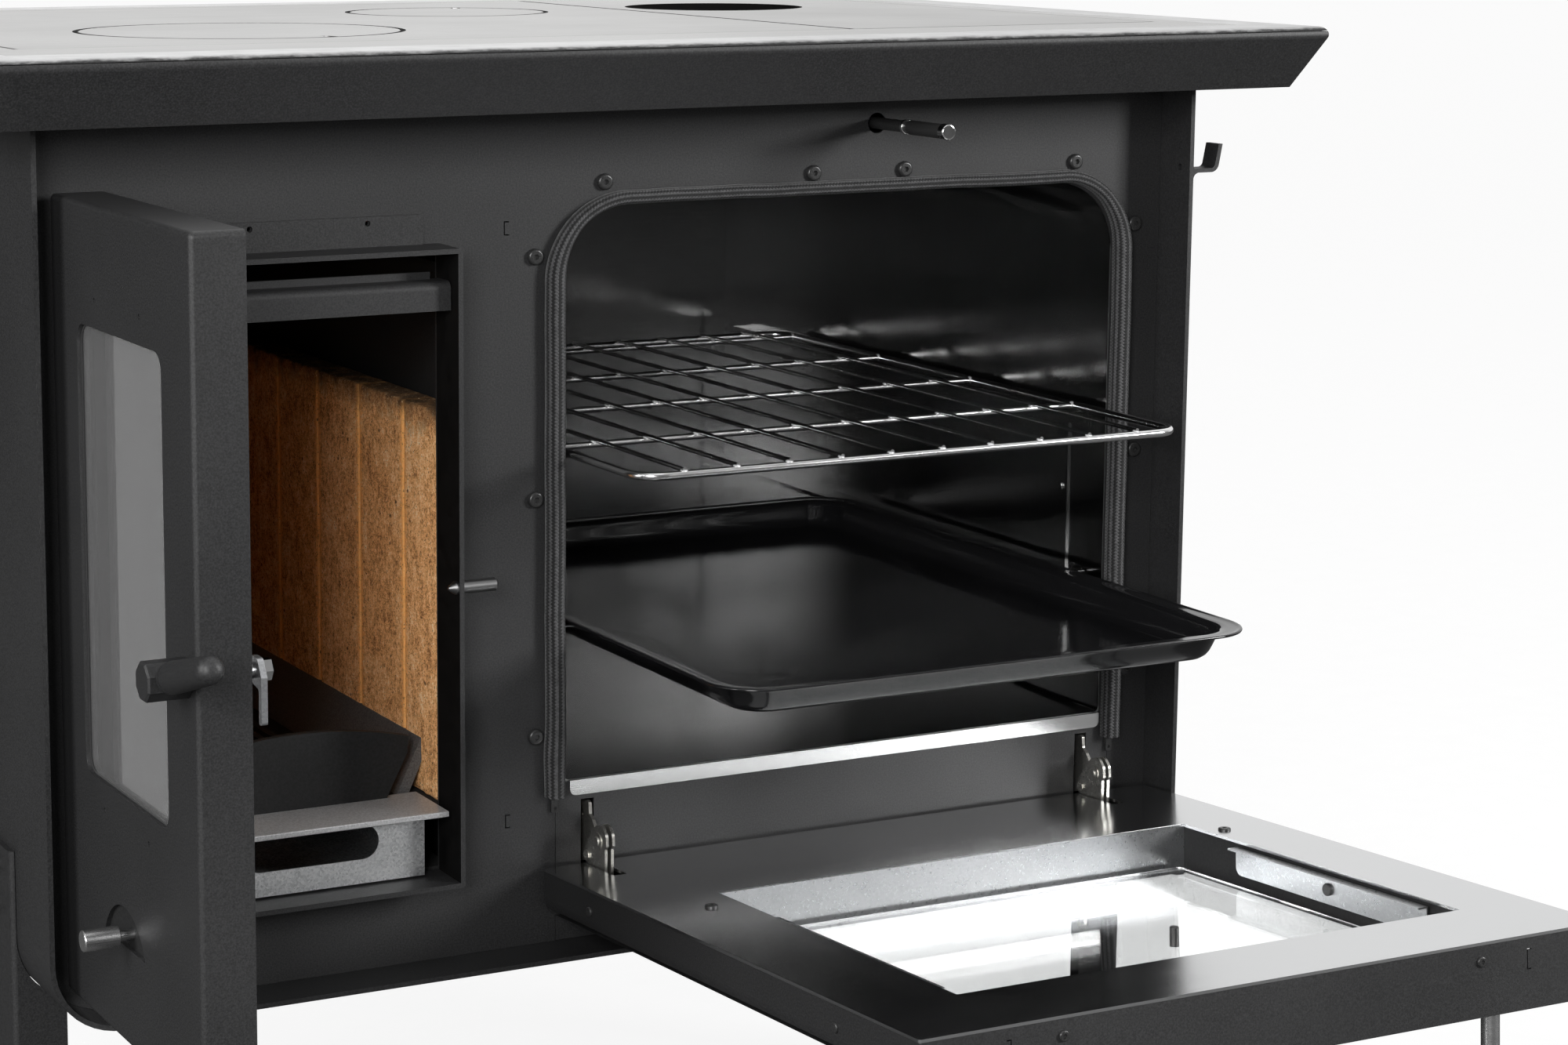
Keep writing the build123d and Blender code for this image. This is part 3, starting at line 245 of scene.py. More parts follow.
def chamotte(name):
    """Fired clay board: orange-tan grain, dark and pale grit; the paler bands beside the joints are a painted highlight
    of lit joint chamfers, and the darkening near the top is painted shade.
    """
    m, nt, b = new_mat(name)
    v = coord(nt)
    body = noise(nt, v, 55.0, 6.0, 0.65)
    drag = noise(nt, coord(nt, scale=(1, 1, 0.35)), 140.0, 3.0, 0.6)
    grain = noise(nt, v, 1100.0, 3.0, 0.7)
    mid = noise(nt, v, 330.0, 3.0, 0.6)
    f = math2(nt, "ADD", math2(nt, "MULTIPLY", body, 0.22), math2(nt, "ADD", math2(nt, "MULTIPLY", drag, 0.13), math2(nt, "ADD", math2(nt, "MULTIPLY", grain, 0.40), math2(nt, "MULTIPLY", mid, 0.25))))
    c = ramp(nt, f, [(0.41, (0.22, 0.090, 0.032)), (0.475, (0.72, 0.355, 0.135)), (0.535, (0.98, 0.56, 0.245)), (0.59, (1.0, 0.82, 0.54))])
    sep = nt.nodes.new("ShaderNodeSeparateXYZ")
    nt.links.new(v, sep.inputs[0])
    # the joints stand every 80.3 mm along the row, counted from its front end
    # painted highlight: a paler orange band beside each joint stands in for the lit joint chamfers
    ph = math2(nt, "FRACT", math2(nt, "DIVIDE", math2(nt, "ADD", sep.outputs["Y"], 0.001 + 0.0803 * 4), 0.0803), 0.0)
    edge = math2(nt, "MULTIPLY", math2(nt, "MINIMUM", ph, math2(nt, "SUBTRACT", 1.0, ph)), 80.3)
    wob = maprange(nt, noise(nt, coord(nt, scale=(1, 1, 0.7)), 420.0, 3.0, 0.6), 0.3, 0.7, -3.5, 3.5)
    joint_highlight_band = maprange(nt, math2(nt, "ADD", edge, wob), 3.0, 6.5, 1.0, 0.0)
    c = mixc(nt, math2(nt, "MULTIPLY", joint_highlight_band, maprange(nt, mid, 0.3, 0.60, 0.55, 1.0)), c, (1.0, 0.50, 0.16))
    # painted shade: the boards darken to near black over their top 20 mm, standing in for the shadow from the overhang
    # above
    top_painted_shade = maprange(nt, math2(nt, "ADD", sep.outputs["Z"], maprange(nt, body, 0.3, 0.7, -0.010, 0.010)), 0.585, 0.606, 0.0, 0.9)
    c = mixc(nt, top_painted_shade, c, (0.035, 0.020, 0.012))
    dk = voronoi(nt, v, 400.0)
    dkm = ramp(nt, dk, [(0.14, 1.0), (0.24, 0.0)])
    gate = ramp(nt, noise(nt, v, 210.0, 1.0), [(0.45, 0.0), (0.54, 1.0)])
    c = mixc(nt, math2(nt, "MULTIPLY", dkm, gate), c, (0.070, 0.028, 0.012))
    pl = ramp(nt, voronoi(nt, coord(nt, loc=(3.1, 1.7, 0.4)), 300.0), [(0.10, 1.0), (0.20, 0.0)])
    c = mixc(nt, math2(nt, "MULTIPLY", pl, 0.6), c, (0.92, 0.68, 0.42))
    big = ramp(nt, voronoi(nt, coord(nt, loc=(0.3, 0.7, 0.4)), 52.0), [(0.050, 1.0), (0.085, 0.0)])
    c = mixc(nt, math2(nt, "MULTIPLY", big, 0.9), c, (0.050, 0.020, 0.010))
    nt.links.new(c, b.inputs["Base Color"])
    h = math2(nt, "SUBTRACT", math2(nt, "ADD", grain, math2(nt, "MULTIPLY", mid, 0.8)), math2(nt, "MULTIPLY", dkm, 0.7))
    bump(nt, b, h, 0.7, 0.0009)
    setv(b, Roughness=0.92, Specular_IOR_Level=0.2)
    return m


def enamel(name):
    """Deep gloss black enamel with pin-prick pale specks."""
    m, nt, b = new_mat(name)
    v = coord(nt)
    sp = ramp(nt, voronoi(nt, v, 260.0), [(0.035, 1.0), (0.06, 0.0)])
    gate = ramp(nt, noise(nt, v, 60.0, 1.0), [(0.55, 0.0), (0.62, 1.0)])
    c = mixc(nt, math2(nt, "MULTIPLY", sp, gate), (0.006, 0.006, 0.0065), (0.16, 0.16, 0.16))
    nt.links.new(c, b.inputs["Base Color"])
    w = noise(nt, v, 38.0, 2.0, 0.5)
    nt.links.new(maprange(nt, noise(nt, v, 260.0, 2.0), 0.3, 0.7, 0.09, 0.15), b.inputs["Roughness"])
    bump(nt, b, w, 0.06, 0.0010)
    setv(b, Specular_IOR_Level=0.45)
    return m


def chrome(name, col=(0.80, 0.80, 0.80), rough=(0.06, 0.14)):
    m, nt, b = new_mat(name)
    v = coord(nt)
    n1 = noise(nt, v, 40.0, 2.0, 0.5)
    nt.links.new(maprange(nt, n1, 0.3, 0.7, rough[0], rough[1]), b.inputs["Roughness"])
    nt.links.new(ramp(nt, n1, [(0.3, tuple(x * 0.96 for x in col)), (0.7, col)]), b.inputs["Base Color"])
    setv(b, Metallic=1.0)
    return m


def cord_mat(name, lo=0.012, hi=0.05, fuzz=0.15):
    """Spun fibre: hair-fine light and dark threads."""
    m, nt, b = new_mat(name)
    v = coord(nt)
    f = noise(nt, v, 2400.0, 3.0, 0.7)
    d = noise(nt, v, 160.0, 3.0, 0.6)
    c = ramp(nt, f, [(0.35, (lo, lo, lo)), (0.66, (hi, hi, hi * 1.03))])
    c = mixc(nt, maprange(nt, d, 0.4, 0.7, 0.0, 0.5), c, (lo * 0.7, lo * 0.7, lo * 0.7))
    nt.links.new(c, b.inputs["Base Color"])
    bump(nt, b, f, 0.6, 0.0003)
    setv(b, Roughness=0.8, Specular_IOR_Level=0.3, Sheen_Weight=fuzz)
    return m


def wool(name):
    m, nt, b = new_mat(name)
    v = coord(nt)
    f = noise(nt, v, 300.0, 5.0, 0.7)
    nt.links.new(ramp(nt, f, [(0.3, (0.35, 0.33, 0.25)), (0.7, (0.70, 0.68, 0.58))]), b.inputs["Base Color"])
    bump(nt, b, f, 0.7, 0.002)
    setv(b, Roughness=0.95)
    return m


def glass(name, tint=(0.97, 0.975, 0.975), rough=0.0, clear=1.0):
    """Flat pane with faint wipe marks; a veiled pane lets less through and shows its grey base as a pale veil."""
    m, nt, b = new_mat(name)
    v = coord(nt)
    sm = noise(nt, v, 9.0, 4.0, 0.6)
    nt.links.new(maprange(nt, sm, 0.55, 0.75, rough + 0.0, rough + 0.03), b.inputs["Roughness"])
    nt.links.new(ramp(nt, sm, [(0.3, tuple(x * 0.985 for x in tint)), (0.7, tint)]), b.inputs["Base Color"])
    setv(b, IOR=1.46, Transmission_Weight=clear)
    return m


def plastic(name, lo=0.012, hi=0.022, rough=(0.35, 0.5)):
    m, nt, b = new_mat(name)
    v = coord(nt)
    g = noise(nt, v, 2200.0, 2.0, 0.5)
    nt.links.new(ramp(nt, g, [(0.3, (lo,) * 3), (0.7, (hi,) * 3)]), b.inputs["Base Color"])
    nt.links.new(maprange(nt, g, 0.3, 0.7, rough[0], rough[1]), b.inputs["Roughness"])
    bump(nt, b, g, 0.1, 0.0002)
    return m


def collar_mat(name):
    """Stove paint of the collar."""
    m, nt, b = new_mat(name)
    v = coord(nt)
    g = noise(nt, v, 1500.0, 3.0, 0.6)
    s = noise(nt, v, 820.0, 1.0, 0.5)
    dark = ramp(nt, s, [(0.34, (0.010, 0.010, 0.0103)), (0.52, (0.018, 0.018, 0.0185)), (0.70, (0.026, 0.026, 0.0267))])
    nt.links.new(dark, b.inputs["Base Color"])
    setv(b, Roughness=0.50)
    bump(nt, b, g, 0.32, 0.0003)
    setv(b, Specular_IOR_Level=0.42)
    return m


def soot_and_shadow_mat(name):
    """Dull near-black for soot, also laid in gaps as painted shadow."""
    m, nt, b = new_mat(name)
    v = coord(nt)
    n1 = noise(nt, v, 90.0, 4.0, 0.6)
    nt.links.new(ramp(nt, n1, [(0.3, (0.0018, 0.0018, 0.0018)), (0.7, (0.0050, 0.0046, 0.0044))]), b.inputs["Base Color"])
    nt.links.new(maprange(nt, n1, 0.3, 0.7, 0.75, 0.95), b.inputs["Roughness"])
    setv(b, Specular_IOR_Level=0.08)
    return m


def rim_mat(name):
    """Bright ground steel top that turns into dark textured paint over the bend; the lighter band where the bend still
    faces up is a painted highlight.
    """
    m, nt, b = new_mat(name)
    v = coord(nt)
    g = noise(nt, v, 1500.0, 3.0, 0.6)
    s = noise(nt, v, 820.0, 1.0, 0.5)
    dark = ramp(nt, s, [(0.34, (0.009, 0.009, 0.0093)), (0.52, (0.016, 0.016, 0.0165)), (0.70, (0.025, 0.025, 0.0257))])
    st = noise(nt, coord(nt, scale=(0.02, 1, 1)), 900.0, 3.0, 0.6)
    mott = noise(nt, v, 45.0, 4.0, 0.6)
    lite = ramp(nt, math2(nt, "ADD", math2(nt, "MULTIPLY", st, 0.5), math2(nt, "MULTIPLY", mott, 0.5)), [(0.3, (0.36, 0.36, 0.36)), (0.7, (0.60, 0.60, 0.60))])
    geo = nt.nodes.new("ShaderNodeNewGeometry")
    sep = nt.nodes.new("ShaderNodeSeparateXYZ")
    nt.links.new(geo.outputs["Normal"], sep.inputs[0])
    # painted highlight: the steel tone runs down the bend by how far each face points up, with a ragged edge from this
    # noise
    highlight_edge_noise = noise(nt, coord(nt, scale=(0.35, 1, 1)), 160.0, 4.0, 0.7)
    edge = math2(nt, "ADD", sep.outputs["Z"], maprange(nt, highlight_edge_noise, 0.3, 0.7, -0.10, 0.10))
    fac = maprange(nt, edge, 0.66, 0.93, 0.0, 1.0)
    nt.links.new(mixc(nt, fac, dark, lite), b.inputs["Base Color"])
    nt.links.new(fac, b.inputs["Metallic"])
    nt.links.new(maprange(nt, fac, 0.0, 1.0, 0.50, 0.36), b.inputs["Roughness"])
    bump(nt, b, g, 0.16, 0.0003)
    setv(b, Specular_IOR_Level=0.42)
    return m


M = {
    "case_paint": paint("case_paint", 0.010, 0.026, (0.44, 0.58), 1500.0, 0.32),
    "door_paint": paint("door_paint", 0.010, 0.025, (0.44, 0.56), 1500.0, 0.32),
    "inner_black": paint("inner_black", 0.004, 0.011, (0.62, 0.78), 900.0, 0.3),
    "channel_black": paint("channel_black", 0.005, 0.013, (0.50, 0.62), 1200.0, 0.25),
    "frame_steel": brushed("frame_steel", (0.33, 0.327, 0.322), "X", (0.24, 0.34), 0.08, 1.0, 1100.0, 0.03, 0.20),
    "hotplate_steel": brushed("hotplate_steel", (0.32, 0.317, 0.312), "X", (0.26, 0.36), 0.09, 1.0, 1000.0, 0.04, 0.25),
    "rim": rim_mat("rim_steel_paint_and_highlight"),
    "collar": collar_mat("collar_paint"),
    "soot_and_shadow": soot_and_shadow_mat("soot_and_shadow"),
    "cast": cast("cast", 0.014, 0.040),
    "cast_light": cast("cast_worn", 0.32, 0.52, (0.32, 0.46), 0.70),
    "plate_grey": cast("plate_grey", 0.065, 0.14, (0.40, 0.56), 0.24),
    "brick": chamotte("brick"),
    "galvanised": galvanised("galvanised"),
    "galv_bright": galvanised("galvanised_bright", (0.46, 0.47, 0.48), (0.26, 0.32), 0.07, 0.04),
    "galv_drawer": galvanised("galvanised_drawer", (0.70, 0.71, 0.72), (0.34, 0.50), 0.42),
    "galv_dark": galvanised("galvanised_dull", (0.36, 0.365, 0.375), (0.36, 0.52)),
    "stainless": brushed("stainless", (0.62, 0.62, 0.62), "X", (0.20, 0.32), 0.05, 1.0, 1100.0, 0.03),
    "plate": polished("door_plate_steel", (0.60, 0.605, 0.61), (0.15, 0.22), "X", 0.025, 0.004),
    "lip": polished("lip_steel", (0.76, 0.76, 0.76), (0.22, 0.28), "X", 0.02, 0.0),
    # The oven liner steel in three tones: a darkened copy for the walls and runners (painted shade), a lighter copy for
    # the floor (painted reflection) and a still lighter copy for the front edge faces (painted highlight).
    "liner": polished("liner_steel_painted_shade", (0.255, 0.255, 0.255), (0.12, 0.20), "X", 0.03, 0.0),
    "liner_floor_lit": polished("liner_floor_painted_reflection", (0.60, 0.60, 0.60), (0.16, 0.26), "X", 0.03, 0.0),
    "liner_edge_highlight": polished("liner_edge_painted_highlight", (0.80, 0.80, 0.80), (0.26, 0.34), "Z", 0.02, 0.0),
    "chrome": chrome("chrome"),
    "yellow_zinc": galvanised("zinc_hinge", (0.46, 0.45, 0.42), (0.24, 0.38), 0.18),
    "dark_screw": plastic("dark_screw", 0.012, 0.03, (0.25, 0.4)),
    "bright_screw": chrome("bright_screw", (0.62, 0.62, 0.61), (0.16, 0.28)),
    "pin_steel": brushed("pin_steel", (0.20, 0.20, 0.20), "X", (0.28, 0.40), 0.12, 1.0, 900.0, 0.04),
    "rope": cord_mat("rope", 0.006, 0.020, 0.10),
    "rope_light": cord_mat("rope_light", 0.034, 0.115, 0.12),
    "wool": wool("wool"),
    "glass_clear": glass("glass_clear"),
    # grey, less clear pane that lays a pale veil over what lies behind it
    "glass_veil": glass("glass_veiled", (0.50, 0.50, 0.50), 0.0, 0.86),
    "glass_printed": glass("glass_printed", (0.96, 0.97, 0.97)),
    "enamel": enamel("enamel"),
    "wire": chrome("wire", (0.74, 0.74, 0.74), (0.17, 0.23)),
    "weld": cast("weld", 0.35, 0.60, (0.22, 0.36), 0.75),
    "grip": plastic("grip"),
}


def dress(node, mat):
    o = NODES[node]
    o.data.materials.clear()
    o.data.materials.append(M[mat])
    for p in o.data.polygons:
        p.material_index = 0


record = frame["record"]
slot_of = {s["node"]: s["material_slot"] for s in record["subparts"]}
SPECIAL = {
    "firebox_collar": "collar",
    "hob_rim": "rim", "oven_liner": "liner", "oven_runners": "liner", "firebox_door_pan": "door_paint",
    "latch_handle": "door_paint", "sill_ledge": "cast_light", "hopper_plates": "plate_grey", "deflector_bar": "case_paint",
    "door_inner_rails": "case_paint", "ash_drawer": "galv_drawer", "door_screws": "dark_screw", "latch_arm": "galv_dark",
    "log_retainer": "inner_black", "lower_front_strip": "case_paint", "back_panel": "galvanised", "striker_pin": "pin_steel", "door_inner_plate": "plate",
    "oven_lip": "lip", "window_channel": "galv_bright", "window_channel_side": "channel_black",
    "firebox_door_glass": "glass_veil", "damper_rod": "dark_screw", "damper_trim": "chrome",
}
for n in NODES:
    dress(n, SPECIAL.get(n, slot_of.get(n, "case_paint")))


def paint_faces(node, mat, test):
    """Gives a second material to the faces that pass the test of normal and centre (drawing millimetres)."""
    o = NODES[node]
    o.data.materials.append(M[mat])
    k = len(o.data.materials) - 1
    mw = o.matrix_world
    rot = mw.to_3x3()
    for p in o.data.polygons:
        c = mw @ p.center
        n = (rot @ p.normal).normalized()
        if test(n, (c.x * 1000.0, (c.y - SY) * 1000.0, c.z * 1000.0)):
            p.material_index = k


# The left-facing faces of the collar's inner return, from x -200 to -146, are made near-black with the soot and shadow
# material.
paint_faces("firebox_collar", "soot_and_shadow", lambda n, c: n.x < -0.5 and -200.0 < c[0] < -146.0)
# painted reflection on the liner floor and painted highlight on its front edge faces
paint_faces("oven_liner", "liner_floor_lit", lambda n, c: n.z > 0.7 and c[2] < 345.0)
paint_faces("oven_liner", "liner_edge_highlight", lambda n, c: n.y < -0.7 and c[1] < 45.0)
paint_faces("hotplate_right", "soot_and_shadow", lambda n, c: abs(n.z) < 0.5 and math.hypot(c[0] - 277.0, c[1] - 434.0) < 76.0)
paint_faces("hob_support", "soot_and_shadow", lambda n, c: math.hypot(c[0] - 277.0, c[1] - 434.0) < 82.0)


# ------------------------------------------------------------------ mesh helpers
def obj_from(name, verts, faces, mats, smooth=True, index=None):
    me = bpy.data.meshes.new(name)
    me.from_pydata([tuple(v) for v in verts], [], faces)
    me.update()
    for mt in (mats if isinstance(mats, (list, tuple)) else [mats]):
        me.materials.append(mt)
    if index is not None:
        me.polygons.foreach_set("material_index", index)
    if smooth:
        me.polygons.foreach_set("use_smooth", [True] * len(me.polygons))
    o = bpy.data.objects.new(name, me)
    bpy.context.scene.collection.objects.link(o)
    return o


def hash01(*k):
    """Repeatable number from 0 to 1 for whole-number keys."""
    n = 0
    for i, q in enumerate(k):
        n = (n * 1103515245 + int(q) * 12345 + 7919 * (i + 1)) & 0x7FFFFFFF
    n = (n ^ (n >> 13)) * 1274126177 & 0x7FFFFFFF
    return ((n ^ (n >> 16)) % 100003) / 100003.0


_RS = np.random.RandomState(7)
_LAT = _RS.rand(32, 32, 32)


def smooth_noise(p, cell):
    """Lattice noise from -1 to 1 at an array of points, in drawing millimetres."""
    q = np.asarray(p, float) / cell
    i = np.floor(q).astype(int)
    f = q - i
    f = f * f * (3 - 2 * f)
    out = 0
    for dx in (0, 1):
        for dy in (0, 1):
            for dz in (0, 1):
                w = (f[:, 0] if dx else 1 - f[:, 0]) * (f[:, 1] if dy else 1 - f[:, 1]) * (f[:, 2] if dz else 1 - f[:, 2])
                out = out + w * _LAT[(i[:, 0] + dx) % 32, (i[:, 1] + dy) % 32, (i[:, 2] + dz) % 32]
    return out * 2 - 1


def arc_path(corners, radii, step, closed=False):
    """Points along straight runs and tangent arcs in the XZ plane, evenly stepped; returns points and unit tangents."""
    n = len(corners)
    runs = []
    pts = [np.array(c, float) for c in corners]
    dense = []
    for k in range(n):
        p = pts[k]
        if (k == 0 or k == n - 1) and not closed:
            dense.append(p)
            continue
        a = pts[k - 1] - p
        c = pts[(k + 1) % n] - p
        a = a / np.linalg.norm(a)
        c = c / np.linalg.norm(c)
        r = radii[k]
        half = math.acos(max(-1, min(1, float(a @ c)))) / 2
        t = r / math.tan(half)
        m = (a + c) / np.linalg.norm(a + c)
        ctr = p + m * (r / math.sin(half))
        s0 = p + a * t - ctr
        s1 = p + c * t - ctr
        th0 = math.atan2(s0[1], s0[0])
        th1 = math.atan2(s1[1], s1[0])
        d = (th1 - th0 + math.pi) % (2 * math.pi) - math.pi
        for j in range(25):
            th = th0 + d * j / 24
            dense.append(ctr + r * np.array([math.cos(th), math.sin(th)]))
    if closed:
        dense.append(dense[0])
    dense = np.array(dense)
    seg = np.linalg.norm(np.diff(dense, axis=0), axis=1)
    cum = np.concatenate([[0], np.cumsum(seg)])
    m = max(8, int(cum[-1] / step))
    s = np.linspace(0, cum[-1], m + 1)
    if closed:
        s = s[:-1]
    x = np.interp(s, cum, dense[:, 0])
    z = np.interp(s, cum, dense[:, 1])
    e = 0.8
    L = cum[-1]
    if closed:
        sa, sb = (s - e) % L, (s + e) % L
    else:
        sa, sb = np.clip(s - e, 0, L), np.clip(s + e, 0, L)
    t = np.stack([np.interp(sb, cum, dense[:, 0]) - np.interp(sa, cum, dense[:, 0]), np.interp(sb, cum, dense[:, 1]) - np.interp(sa, cum, dense[:, 1])], 1)
    t /= np.linalg.norm(t, axis=1)[:, None]
    return s, np.stack([x, z], 1), t


def braid_rope(name, s, centre, tangent, half_w, y_back, depth, toward, pitch, relief, mats, closed, wobble=0.0, around=30, transform=None):
    """Flat-backed round-fronted rope, braided two over and two under. toward is +1 or -1: the side of Y that the round front faces."""
    th = np.linspace(0, math.pi, around + 1)
    cs = np.sign(np.cos(th)) * np.abs(np.cos(th)) ** 0.72
    sn = np.abs(np.sin(th)) ** 0.62
    side = np.stack([tangent[:, 1], -tangent[:, 0]], 1)
    hw = half_w if isinstance(half_w, np.ndarray) else np.full(len(s), half_w)
    u = np.concatenate([[0], np.cumsum(np.hypot(np.diff(cs * hw.mean()), np.diff(sn * depth)))])
    if closed:
        total = s[-1] + (s[1] - s[0])
        pitch = total / (round(total / pitch / 4) * 4)
    S, U = np.meshgrid(s, u - u[-1] / 2, indexing="ij")
    a = (S + U) / pitch
    b = (S - U) / pitch
    ia, ib = np.floor(a), np.floor(b)
    fa, fb = a - ia, b - ib
    qa = ((b - ia) % 4) / 2
    top_a = ((ib - ia) % 4) < 2
    qb = ((a - ib + 3) % 4) / 2
    ha = np.abs(np.sin(math.pi * fa)) ** 0.55 * np.abs(np.sin(math.pi * np.clip(qa, 0, 1))) ** 0.30
    hb = np.abs(np.sin(math.pi * fb)) ** 0.55 * np.abs(np.sin(math.pi * np.clip(qb, 0, 1))) ** 0.30
    h = np.where(top_a, ha, hb)
    edge = np.clip(np.sin(th) * 2.2, 0, 1)[None, :]
    disp = (h - 1.0) * relief * edge
    base = np.stack([centre[:, 0], np.zeros(len(s)), centre[:, 1]], 1)
    wob = smooth_noise(np.stack([s, s * 0 + 3, s * 0], 1), 26.0) * wobble
    lift = smooth_noise(np.stack([s, s * 0 + 9, s * 0], 1), 15.0) * wobble * 0.6
    W = hw[:, None] * cs[None, :] * (1 + disp / hw.mean()) + wob[:, None]
    D = (depth + lift[:, None]) * sn[None, :] + disp
    D = np.maximum(D, 0.0)
    V = np.zeros((len(s), around + 1, 3))
    V[:, :, 0] = base[:, None, 0] + side[:, None, 0] * W
    V[:, :, 2] = base[:, None, 2] + side[:, None, 1] * W
    V[:, :, 1] = y_back + toward * D
    n, k = V.shape[:2]
    P0 = V.reshape(-1, 3)
    if transform is not None:
        P0 = transform(P0)
    P0 = P0 / 1000.0
    P0[:, 1] += SY
    faces, idx = [], []
    light = top_a.astype(int)
    rows_n = n if closed else n - 1
    for i in range(rows_n):
        j = (i + 1) % n
        for c in range(k - 1):
            f = (i * k + c, i * k + c + 1, j * k + c + 1, j * k + c)
            faces.append(f if toward < 0 else f[::-1])
            idx.append(int(light[i, c]))
        f = (i * k + k - 1, i * k, j * k, j * k + k - 1)
        faces.append(f if toward < 0 else f[::-1])
        idx.append(1)
    if not closed:
        e0 = tuple(range(k))
        e1 = tuple((n - 1) * k + c for c in range(k))
        faces += [e0[::-1], e1] if toward < 0 else [e0, e1[::-1]]
        idx += [1, 1]
    return obj_from(name, P0, faces, mats, True, idx)


# ------------------------------------------------------------------ oven gasket
s_, c_, t_ = arc_path([(-64.25, 321.0), (-64.25, 746.8), (411.75, 746.8), (411.75, 312.0)], [0, 56.0, 56.0, 0], 0.5)
up = np.clip((c_[:, 1] - 690.0) / 50.0, 0, 1)
hw_ = 7.0 - 2.1 * up * up * (3 - 2 * up)
hw_ = hw_ + 0.7 * np.exp(-((c_[:, 1] - 352.0) / 17.0) ** 2) * (c_[:, 0] < 0)
gasket = braid_rope("oven_rope", s_, c_, t_, hw_, 37.0, 10.7, -1, 2.5, 1.0, [M["rope_light"], M["rope"]], False, 0.35, 38)
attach(gasket, "stove")
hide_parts("oven_gasket")


# ------------------------------------------------------------------ fire door seal
def opened(p):
    """Closed door drawing position to the drawn, open one."""
    q = np.array(p)
    return np.stack([p[:, 1] - 409.0, -347.0 - p[:, 0], p[:, 2]], 1)


s_, c_, t_ = arc_path([(-343.25, 276.75), (-343.25, 719.25), (-151.75, 719.25), (-151.75, 276.75)], [8.0] * 4, 0.6, True)
seal = braid_rope("fire_door_rope", s_, c_, t_, 5.7, -15.9, 14.6, 1, 2.8, 1.0, [M["rope_light"], M["rope"]], True, 0.0, 30, opened)
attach(seal, "firebox_door")


# ------------------------------------------------------------------ firebricks
def grid_block(lo, hi, step):
    """Points and faces of a closed box divided into a fine grid, in drawing millimetres."""
    n = [max(2, int(round((hi[i] - lo[i]) / step))) for i in range(3)]
    ax = [np.linspace(lo[i], hi[i], n[i] + 1) for i in range(3)]
    ids, verts, faces = {}, [], []

    def vid(i, j, k):
        key = (i, j, k)
        if key not in ids:
            ids[key] = len(verts)
            verts.append((ax[0][i], ax[1][j], ax[2][k]))
        return ids[key]
    for i in (0, n[0]):
        for j in range(n[1]):
            for k in range(n[2]):
                f = (vid(i, j, k), vid(i, j + 1, k), vid(i, j + 1, k + 1), vid(i, j, k + 1))
                faces.append(f if i else f[::-1])
    for j in (0, n[1]):
        for i in range(n[0]):
            for k in range(n[2]):
                f = (vid(i, j, k), vid(i, j, k + 1), vid(i + 1, j, k + 1), vid(i + 1, j, k))
                faces.append(f if j else f[::-1])
    for k in (0, n[2]):
        for i in range(n[0]):
            for j in range(n[1]):
                f = (vid(i, j, k), vid(i + 1, j, k), vid(i + 1, j + 1, k), vid(i, j + 1, k))
                faces.append(f if k else f[::-1])
    return np.array(verts), faces


def rough_brick(lo, hi, step):
    """Box with worn arrises: the edge radius wanders and breaks out in chips, and the faces are slightly uneven."""
    v, f = grid_block(lo, hi, step)
    lo, hi = np.array(lo), np.array(hi)
    r = 1.9 + 0.9 * smooth_noise(v, 7.0) + 2.6 * np.clip(smooth_noise(v + 50, 13.0) - 0.25, 0, 1) + 0.5 * smooth_noise(v + 90, 3.0)
    r = np.clip(r, 0.7, 5.5)[:, None]
    c = np.minimum(np.maximum(v, lo + r), hi - r)
    d = v - c
    L = np.linalg.norm(d, axis=1)[:, None]
    d = np.where(L > 1e-6, d / np.maximum(L, 1e-6), 0)
    p = c + d * r
    p = p - d * (0.10 + 0.12 * smooth_noise(v, 2.6) + 0.16 * smooth_noise(v + 20, 9.0) + 0.12)[:, None]
    return p, f


ROWS = [(39.7, 98.8), (99.2, 179.8), (180.2, 259.8), (260.2, 339.8), (340.2, 419.8), (420.2, 499.8)]
blocks = [((-152.5, a, 326.2), (-127.6, b, 604.5), 2.0) for a, b in ROWS] + [((-366.9, a, 326.2), (-342.5, b, 604.5), 3.5) for a, b in ROWS]
blocks += [((-342.0, 500.9, 326.2), (-248.0, 525.9, 604.5), 3.0), ((-247.6, 500.9, 326.2), (-153.0, 525.9, 604.5), 3.0)]
bv, bf = [], []
for lo_, hi_, st_ in blocks:
    v_, f_ = rough_brick(lo_, hi_, st_)
    off = sum(len(q) for q in bv)
    v_ = v_ / 1000.0
    v_[:, 1] += SY
    bv.append(v_)
    bf += [tuple(off + i for i in f) for f in f_]
bricks = obj_from("firebrick_lining", np.concatenate(bv), bf, M["brick"])
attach(bricks, "stove")
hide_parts("firebricks")


# ------------------------------------------------------------------ baking tray
def rounded_ring(x0, x1, y0, y1, r, per=14, along=10):
    """One closed ring of points round a rounded rectangle, the same count for any size."""
    out = []
    for (cx_, cy_, a0), (ex, ey) in zip(((x1 - r, y0 + r, -90), (x1 - r, y1 - r, 0), (x0 + r, y1 - r, 90), (x0 + r, y0 + r, 180)), ((0, 1), (-1, 0), (0, -1), (1, 0))):
        for j in range(per + 1):
            t = math.radians(a0 + 90.0 * j / per)
            out.append((cx_ + r * math.cos(t), cy_ + r * math.sin(t)))
        L = ((y1 - y0) if ey else (x1 - x0)) - 2 * r
        for j in range(1, along):
            out.append((out[-1][0], out[-1][1]) if L <= 0 else (out[-j][0] + ex * L * j / along, out[-j][1] + ey * L * j / along))
    return out


TX0, TX1, TY0, TY1, TZ = -40.0, 390.0, -181.0, 412.0, 440.0
